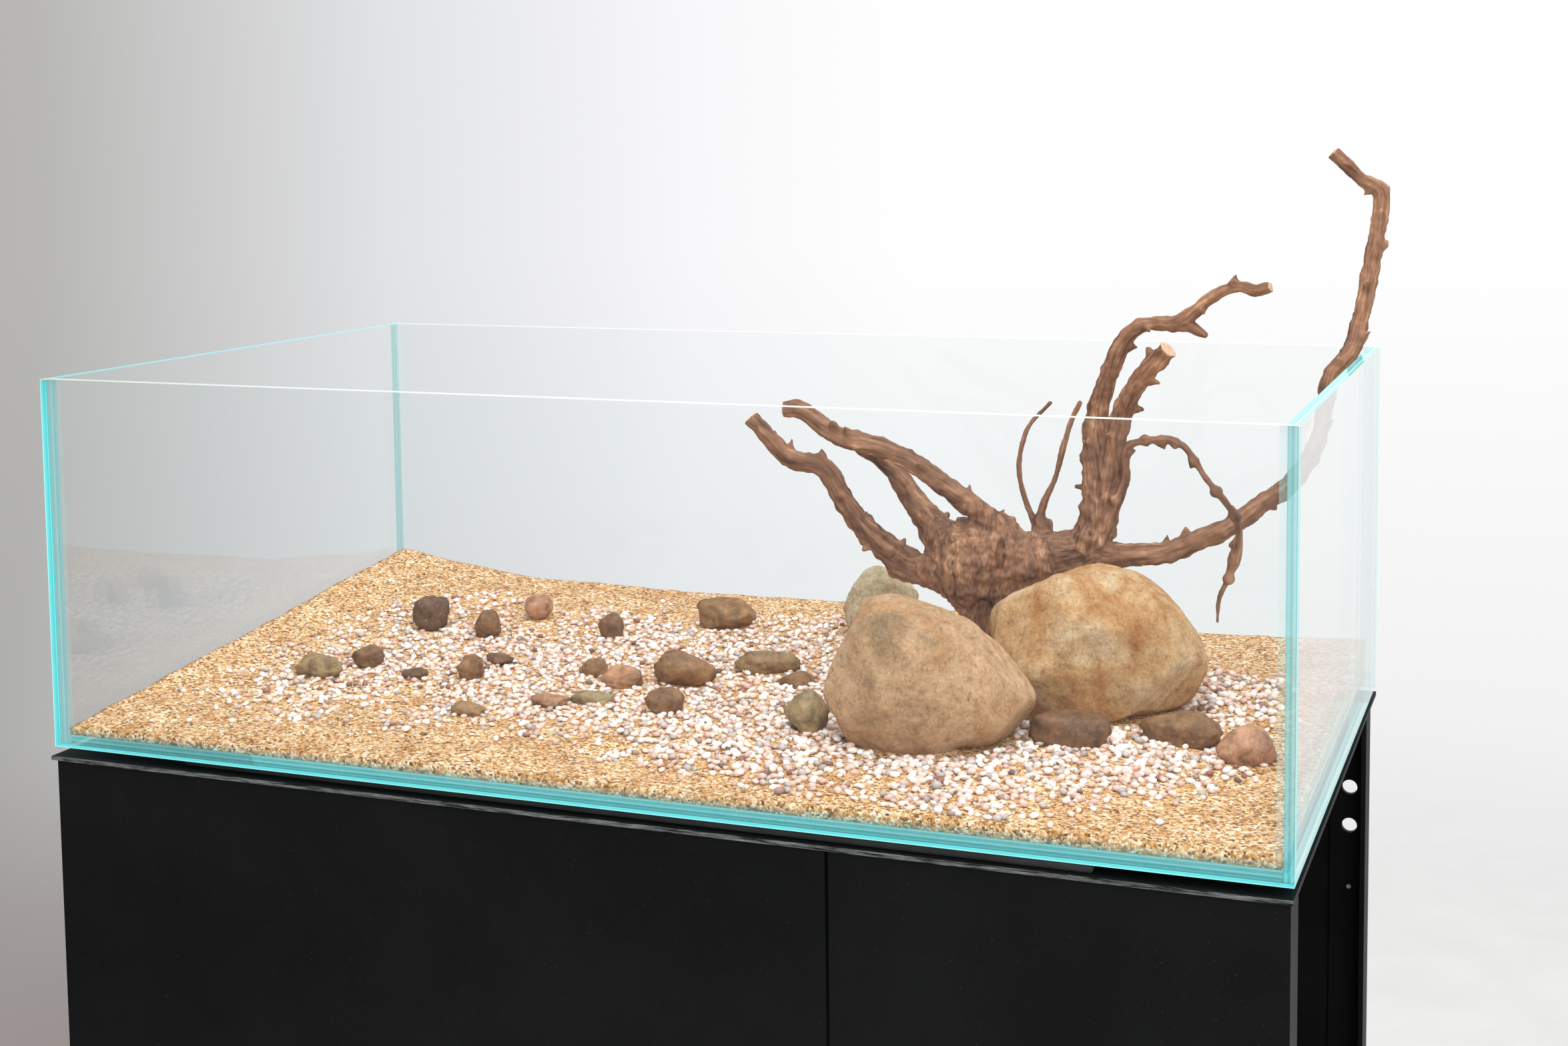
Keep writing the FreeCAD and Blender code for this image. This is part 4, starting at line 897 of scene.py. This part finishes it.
# %% Wood: limbs
LIMBS = {
    "trunk": (
        (240, 64, 14, 7), (239, 66, 48, 9), (236, 70, 78, 11), (229, 75, 103, 22), (226, 79, 119, 33.5),
        (223, 83, 135, 41), (228, 88, 151, 45), (244, 92, 162, 37)),
    "left_low": (
        (213, 84, 132, 26.4), (183, 84, 133, 18.8), (155, 84, 138, 17), (133, 80, 155, 15),
        (109, 76, 178, 12.6), (90, 72, 203, 11.2), (75, 70, 230, 11.2), (63, 69, 241, 10.7),
        (43, 68, 245, 10.2), (26, 66, 251, 9.8), (9, 62, 270, 8.8), (-10, 60, 291, 8.3)),
    "left_middle": (
        (210, 92, 143, 28.9), (184, 98, 169, 20.3), (159, 104, 199, 13.6), (135, 108, 228, 10.7),
        (112, 111, 247, 8.3), (92, 113, 255, 6.4)),
    "left_high": (
        (259, 88, 158, 26.2), (248, 82, 183, 17.1), (230, 76, 202, 12.3), (209, 70, 219, 10.9),
        (188, 66, 234, 10.4), (161, 58, 255, 10.4), (135, 55, 266, 10), (111, 52, 271, 10),
        (84, 49, 279, 9.6), (65, 46, 294, 9.6), (50, 45, 303, 9.1), (33, 44, 302, 8.7)),
    "shoulder": (
        (252, 98, 148, 22), (284, 100, 155, 21), (322, 103, 161, 19), (358, 107, 159, 12)),
    "fork": (
        (336, 106, 160, 22), (344, 109, 188, 19.5), (347, 111, 212, 17), (346, 112, 238, 16.3),
        (344, 115, 271, 15.4), (344, 117, 295, 12.2), (349, 119, 321, 9.9), (358, 121, 349, 9.4),
        (371, 123, 376, 8.4), (387, 124, 390, 7.6), (406, 123, 392, 7.6), (425, 122, 393, 8),
        (443, 120, 407, 7.2), (465, 118, 424, 5.9), (486, 116, 431, 5.5), (501, 112, 428, 6.3),
        (517, 108, 432, 5.4)),
    "fork_stub": ((427, 122, 392, 7.4), (441, 120, 388, 6), (452, 118, 382, 3.2)),
    "stub": (
        (353, 110, 220, 15.5), (362, 106, 259, 12.6), (368, 103, 288, 11.2), (379, 98, 317, 10.2),
        (397, 92, 344, 9.7), (422, 84, 371, 10)),
    "long": (
        (334, 108, 159, 16.6), (362, 110, 157, 12.8), (390, 112, 160, 11.3), (417, 116, 163, 10.8),
        (445, 120, 175, 10.3), (476, 127, 190, 10.2), (506, 138, 213, 9.8), (527, 148, 228, 9.8),
        (545, 164, 251, 8.8), (556, 180, 280, 8.4), (559, 198, 307, 8.5), (562, 218, 332, 9),
        (578, 244, 356, 9.5), (586, 262, 387, 9.1), (591, 276, 419, 8.6), (596, 286, 457, 8.7),
        (602, 294, 495, 8.7), (602, 297, 519, 8.7), (583, 296, 530, 7.2), (566, 294, 547, 6.8),
        (553, 292, 560, 6.8)),
    "loop": (
        (357, 104, 188, 9.4), (367, 100, 210, 5.6), (377, 96, 238, 5.1), (379, 92, 269, 4.6),
        (398, 90, 278, 3.7), (426, 88, 280, 3.7), (443, 84, 269, 3.7), (460, 80, 245, 3.2),
        (475, 76, 229, 3.2), (490, 72, 210, 3.2), (494, 70, 190, 3.6), (490, 68, 169, 5.9),
        (483, 66, 148, 2.9), (476, 64, 130, 2.5), (475, 62, 108, 1.8)),
    "back_twig": (
        (298, 118, 160, 13.4), (282, 124, 173, 8.2), (274, 128, 189, 3.9), (263, 130, 215, 2.9),
        (259, 132, 244, 2.9), (268, 134, 280, 2.6), (291, 136, 307, 2.4)),
    "side_twig": (
        (290, 118, 164, 9.6), (282, 124, 179, 6.3), (287, 128, 206, 3.8), (298, 130, 231, 2.9),
        (306, 132, 263, 3.3), (313, 134, 288, 3.1), (322, 136, 308, 2.9)),
    "stub_knob": ((291, 122, 171, 7.2), (291, 126, 184, 4.8)),
    "web": (
        (192, 86, 130, 22), (226, 88, 138, 36), (268, 95, 147, 33), (310, 101, 151, 26),
        (345, 106, 156, 18)),
    "wedge": ((262, 90, 130, 24), (248, 84, 112, 24), (240, 77, 92, 17), (238, 70, 70, 11)),
}
SAWN = ("left_low", "left_high", "stub", "fork", "long")
THORNLESS = ("trunk", "shoulder", "web", "wedge", "stub_knob", "back_twig", "side_twig")
STEP = 0.003


def middle_line(stations):
    """Even steps along a smooth curve through a limb's stations: places in metres and radii."""
    own = np.array(stations, dtype=float) / 1000
    own[:, 2] += base_top
    ends = np.vstack((2 * own[0] - own[1], own, 2 * own[-1] - own[-2]))
    line = []
    for a, b, c, d in zip(ends[:-3], ends[1:-2], ends[2:-1], ends[3:]):
        steps = max(2, int(np.linalg.norm((c - b)[:3]) / STEP))
        for t in np.linspace(0, 1, steps, endpoint=False):
            line.append(0.5 * (2 * b + (c - a) * t + (2 * a - 5 * b + 4 * c - d) * t ** 2
                               + (3 * b - a - 3 * c + d) * t ** 3))
    line.append(own[-1])
    return np.array(line)


def directions(line):
    """The way that a middle line runs at each of its points, one metre long."""
    way = np.gradient(line[:, :3], axis=0)
    return way / np.linalg.norm(way, axis=1)[:, None]


def tube(line, sawn):
    """A closed tube round a middle line. A sawn end is flat, another end is rounded off."""
    way = directions(line)
    side = np.cross(way[0], (0.31, 0.77, 0.55))
    points, faces = [], []
    sides = 20
    rings = [(0, -0.75, 0.55), (0, -0.35, 0.85)] + [(k, 0, 1.0) for k in range(len(line))]
    if not sawn:
        rings += [(len(line) - 1, 0.45, 0.85), (len(line) - 1, 0.85, 0.45)]
    for k, ahead, share in rings:
        side = side - way[k] * (side @ way[k])
        side /= np.linalg.norm(side)
        other = np.cross(way[k], side)
        radius = line[k, 3]
        for i in range(sides):
            angle = 2 * math.pi * i / sides
            points.append(line[k, :3] + way[k] * ahead * radius
                          + (side * math.cos(angle) + other * math.sin(angle)) * radius * share)
    for ring in range(len(rings) - 1):
        for i in range(sides):
            j = (i + 1) % sides
            a = ring * sides
            faces.append((a + i, a + j, a + sides + j, a + sides + i))
    faces.append(tuple(range(sides))[::-1])
    faces.append(tuple(range((len(rings) - 1) * sides, len(rings) * sides)))
    return points, faces


lines = {name: middle_line(stations) for name, stations in LIMBS.items()}
dice = random.Random(12)
thorns = {}
for name, line in lines.items():
    if name in THORNLESS:
        continue
    place = dice.randint(10, 16)
    while place < len(line) - 6:
        way = Vector(line[place + 1, :3] - line[place, :3]).normalized()
        lean = Vector((dice.gauss(0, 1), dice.gauss(0, 1), dice.gauss(0, 1)))
        out = (lean - way * lean.dot(way)).normalized()
        start, radius = Vector(line[place, :3]), line[place, 3]
        reach = dice.uniform(0.004, 0.010) * min(1.0, 0.35 + radius * 70)
        tip = start + out * (radius + reach) + way * reach * 0.7
        root = start + out * radius * 0.5
        thorns[f"thorn_{name}_{place}"] = np.array([
            (*root.lerp(tip, t), 0.0054 * (1 - t) + 0.0014) for t in (0, 0.35, 0.7, 1.0)])
        place += dice.randint(5, 13)
print("limbs:", len(lines), "thorns:", len(thorns))

# %% [markdown]
# All tubes are melted into one skin with a voxel remesh, so that the limbs grow out of each other as
# real wood does. Round the heart, where they all meet, the skin is relaxed until the joins flow. Then
# every point of the skin learns where it lies on its limb: how far along, and at which angle. Furrows
# can follow the fibres that way, even round a bend. The furrows, lumps and cracks are real relief, kept
# within 4 mm out and 6 mm in.

# %% Wood: one skin
VOXEL = 0.0017
RELAX_ROUNDS = 60
MOST_OUT, MOST_IN = 0.004, 0.006
points, faces = [], []
for name, line in {**lines, **thorns}.items():
    own_points, own_faces = tube(line, name in SAWN)
    faces += [[i + len(points) for i in face] for face in own_faces]
    points += own_points
raw = bpy.data.meshes.new("wood_tubes")
raw.from_pydata([tuple(p) for p in points], [], [tuple(f) for f in faces])
raw_object = add_object("wood_tubes", raw)
melt = raw_object.modifiers.new("melt", "REMESH")
melt.mode = "VOXEL"
melt.voxel_size = VOXEL
smooth = raw_object.modifiers.new("smooth", "SMOOTH")
smooth.factor = 0.5
smooth.iterations = 3
skin = bpy.data.meshes.new_from_object(raw_object.evaluated_get(bpy.context.evaluated_depsgraph_get()))
bpy.data.objects.remove(raw_object)
print("skin faces:", len(skin.polygons))

cores, core_data = KDTree(sum(len(line) for line in lines.values())), []
for limb_number, (name, line) in enumerate(lines.items()):
    way = directions(line)
    side = np.cross(way[0], (0.31, 0.77, 0.55))
    along = 0.0
    for k in range(len(line)):
        side = side - way[k] * (side @ way[k])
        side /= np.linalg.norm(side)
        if k:
            along += np.linalg.norm(line[k, :3] - line[k - 1, :3])
        cores.insert(line[k, :3], len(core_data))
        core_data.append((line[k, :3], line[k, 3], way[k], side.copy(), along + limb_number * 0.37))
cores.balance()

count = len(skin.vertices)
rest = np.empty(count * 3, dtype=np.float32)
skin.vertices.foreach_get("co", rest)
rest = rest.reshape(-1, 3).astype(float)
heart = np.array((0.238, 0.088, base_top + 0.146))
pairs = np.empty(len(skin.edges) * 2, dtype=np.int32)
skin.edges.foreach_get("vertices", pairs)
ends = pairs.reshape(-1, 2)
neighbours = np.bincount(pairs, minlength=count)[:, None]
soft = np.clip((0.105 - np.linalg.norm(rest - heart, axis=1)) / 0.035, 0, 1)[:, None]
soft *= np.clip((base_top + 0.184 - rest[:, 2:]) / 0.012, 0, 1)
for _ in range(RELAX_ROUNDS):
    total = np.zeros_like(rest)
    for axis in range(3):
        total[:, axis] = np.bincount(ends[:, 0], rest[ends[:, 1], axis], count)
        total[:, axis] += np.bincount(ends[:, 1], rest[ends[:, 0], axis], count)
    rest += soft * 0.6 * (total / neighbours - rest)
skin.vertices.foreach_set("co", rest.astype(np.float32).ravel())
skin.update()
normals = np.empty(count * 3, dtype=np.float32)
skin.vertices.foreach_get("normal", normals)
normals = normals.reshape(-1, 3)
fibre = np.zeros((count, 3))
sawn_face = np.zeros(count)
furrow = np.zeros(count)
moved = np.zeros(count)
for name in SAWN:
    end, radius = lines[name][-1, :3], lines[name][-1, 3]
    way = end - lines[name][-3, :3]
    way /= np.linalg.norm(way)
    ahead = (rest - end) @ way
    beside = np.linalg.norm(rest - end - ahead[:, None] * way, axis=1)
    sawn_face[(ahead > -0.0014) & (beside < radius * 1.05) & (normals @ way > 0.55)] = 1.0
for i in range(count):
    best, best_gap = None, 1e9
    for place, index, distance in cores.find_n(rest[i], 10):
        gap = abs(distance - core_data[index][1]) + 0.15 * distance
        if gap < best_gap:
            best, best_gap = core_data[index], gap
    core, radius, way, side, along = best
    out = rest[i] - core
    angle = math.atan2(out @ np.cross(way, side), out @ side)
    twist = angle + along * 5.0
    wide = max(radius, 0.006)
    fibre[i] = (math.cos(twist) * wide, math.sin(twist) * wide, along * 0.10)
    # Round the thick heart no single limb rules, so there the fibres run nearly straight down.
    in_heart = min(1.0, max(0.0, (0.088 - np.linalg.norm(rest[i] - heart)) / 0.03))
    if in_heart > 0.5:
        fibre[i] = (rest[i][0], rest[i][1], rest[i][2] * 0.25 + rest[i][0] * 0.15)
    q = Vector(fibre[i])
    if sawn_face[i]:
        continue
    fine = noise.noise(q * 420)
    broad = noise.noise(q * (150 if radius < 0.02 else 90))
    spot = Vector(rest[i])
    lump = (noise.noise(spot * 42) * 0.12 + noise.noise(spot * 95) * 0.20
            + noise.noise(spot * 190) * 0.09) * min(radius, 0.022)
    crack = max(0.0, 1 - abs(noise.noise(q * 36 + Vector((7, 0, 0)))) * 20) if radius > 0.014 else 0.0
    depth = min(1.0, radius / 0.030) * min(1.0, abs(in_heart - 0.5) * 3)
    furrow[i] = 0.5 + 0.40 * fine + 0.45 * broad - 0.55 * crack * depth
    moved[i] = lump + (0.00045 + 0.0009 * depth) * broad + 0.00035 * fine - crack * 0.0034 * depth
moved = np.clip(moved, -MOST_IN, MOST_OUT)
worn = rest + normals * moved[:, None]
wood_low, wood_high = (np.array(corner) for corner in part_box("driftwood"))
worn = np.clip(worn, wood_low, wood_high)
skin.vertices.foreach_set("co", worn.astype(np.float32).ravel())
skin.update()
print("relief from", round(moved.min() * 1000, 2), "to", round(moved.max() * 1000, 2), "mm")

# %% [markdown]
# Dry root wood is reddish brown. Its ridges are pale and its furrows and cracks dark, partly from wear
# and partly as painted shade and highlight that follow the relief, and patches of old bark are nearly
# chocolate. The sawn ends show fresh, pale wood with a dark rim. The furrow relief is stored with the
# skin, so the colour and the shape agree.

# %% Wood: bark and finish
wood, tree, shader, place = start_material("weathered_root_wood")
fibre_place = add_node(tree, "Attribute", {"attribute_name": "fibre_place"}).outputs["Vector"]
relief = add_node(tree, "Attribute", {"attribute_name": "furrow"}).outputs["Fac"]
end_mask = add_node(tree, "Attribute", {"attribute_name": "sawn_face"}).outputs["Fac"]
strands = add_node(tree, "TexNoise", inputs={
    "Vector": fibre_place, "Scale": per_mm(1.6), "Detail": 5.0, "Roughness": 0.65})
patches = add_node(tree, "TexNoise", inputs={
    "Vector": place, "Scale": per_mm(48), "Detail": 5.0, "Roughness": 0.6})
strand_part = add_node(tree, "Math", {"operation": "MULTIPLY"}, {0: strands, 1: 0.62})
# The relief darkens furrows and cracks and lightens ridges: partly worn tone, partly painted shade and
# highlight.
relief_part = add_node(tree, "Math", {"operation": "MULTIPLY_ADD"}, {
    0: relief, 1: 0.42, 2: strand_part})
tone = add_node(tree, "Math", {"operation": "MULTIPLY_ADD"}, {0: patches, 1: 0.50, 2: relief_part})
tone_range = add_node(tree, "MapRange", inputs={"Value": tone, "From Min": 0.42, "From Max": 1.05})
bark = add_node(tree, "ValToRGB", inputs={"Fac": tone_range}, stops=(
    (0.0, "#24160f"), (1.0, "#c89d7a"), (0.16, "#422a1e"), (0.36, "#664532"), (0.58, "#845d44"),
    (0.80, "#a07659")))
dust = add_node(tree, "TexNoise", inputs={
    "Vector": place, "Scale": per_mm(3.2), "Detail": 6.0, "Roughness": 0.75})
dust_mask = add_node(tree, "MapRange", inputs={
    "Value": dust, "From Min": 0.62, "From Max": 0.72, "To Max": 0.35})
dusty = add_node(tree, "Mix", COLOURS, {"Factor": dust_mask, "A": bark, "B": "#c9a88a"})
ends = add_node(tree, "TexNoise", inputs={"Vector": place, "Scale": per_mm(2.0), "Detail": 4.0})
end_colour = add_node(tree, "ValToRGB", inputs={"Fac": ends},
                      stops=((0.3, "#b58d72"), (0.7, "#ddbb9e")))
whole = add_node(tree, "Mix", COLOURS, {"Factor": end_mask, "A": dusty, "B": end_colour})
bump = add_node(tree, "Bump", inputs={"Strength": 0.6, "Distance": 0.0009, "Height": strands})
set_inputs(tree, shader, {"Base Color": whole, "Normal": bump, "Roughness": 0.78})

skin.polygons.foreach_set("use_smooth", [True] * len(skin.polygons))
skin.materials.clear()
skin.materials.append(wood)
root = add_object("root_wood", skin)
layer = skin.attributes.new("fibre_place", "FLOAT_VECTOR", "POINT")
layer.data.foreach_set("vector", fibre.astype(np.float32).ravel())
store(root, "furrow", furrow)
store(root, "sawn_face", sawn_face)
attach(root, stand_body)
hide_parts("driftwood")
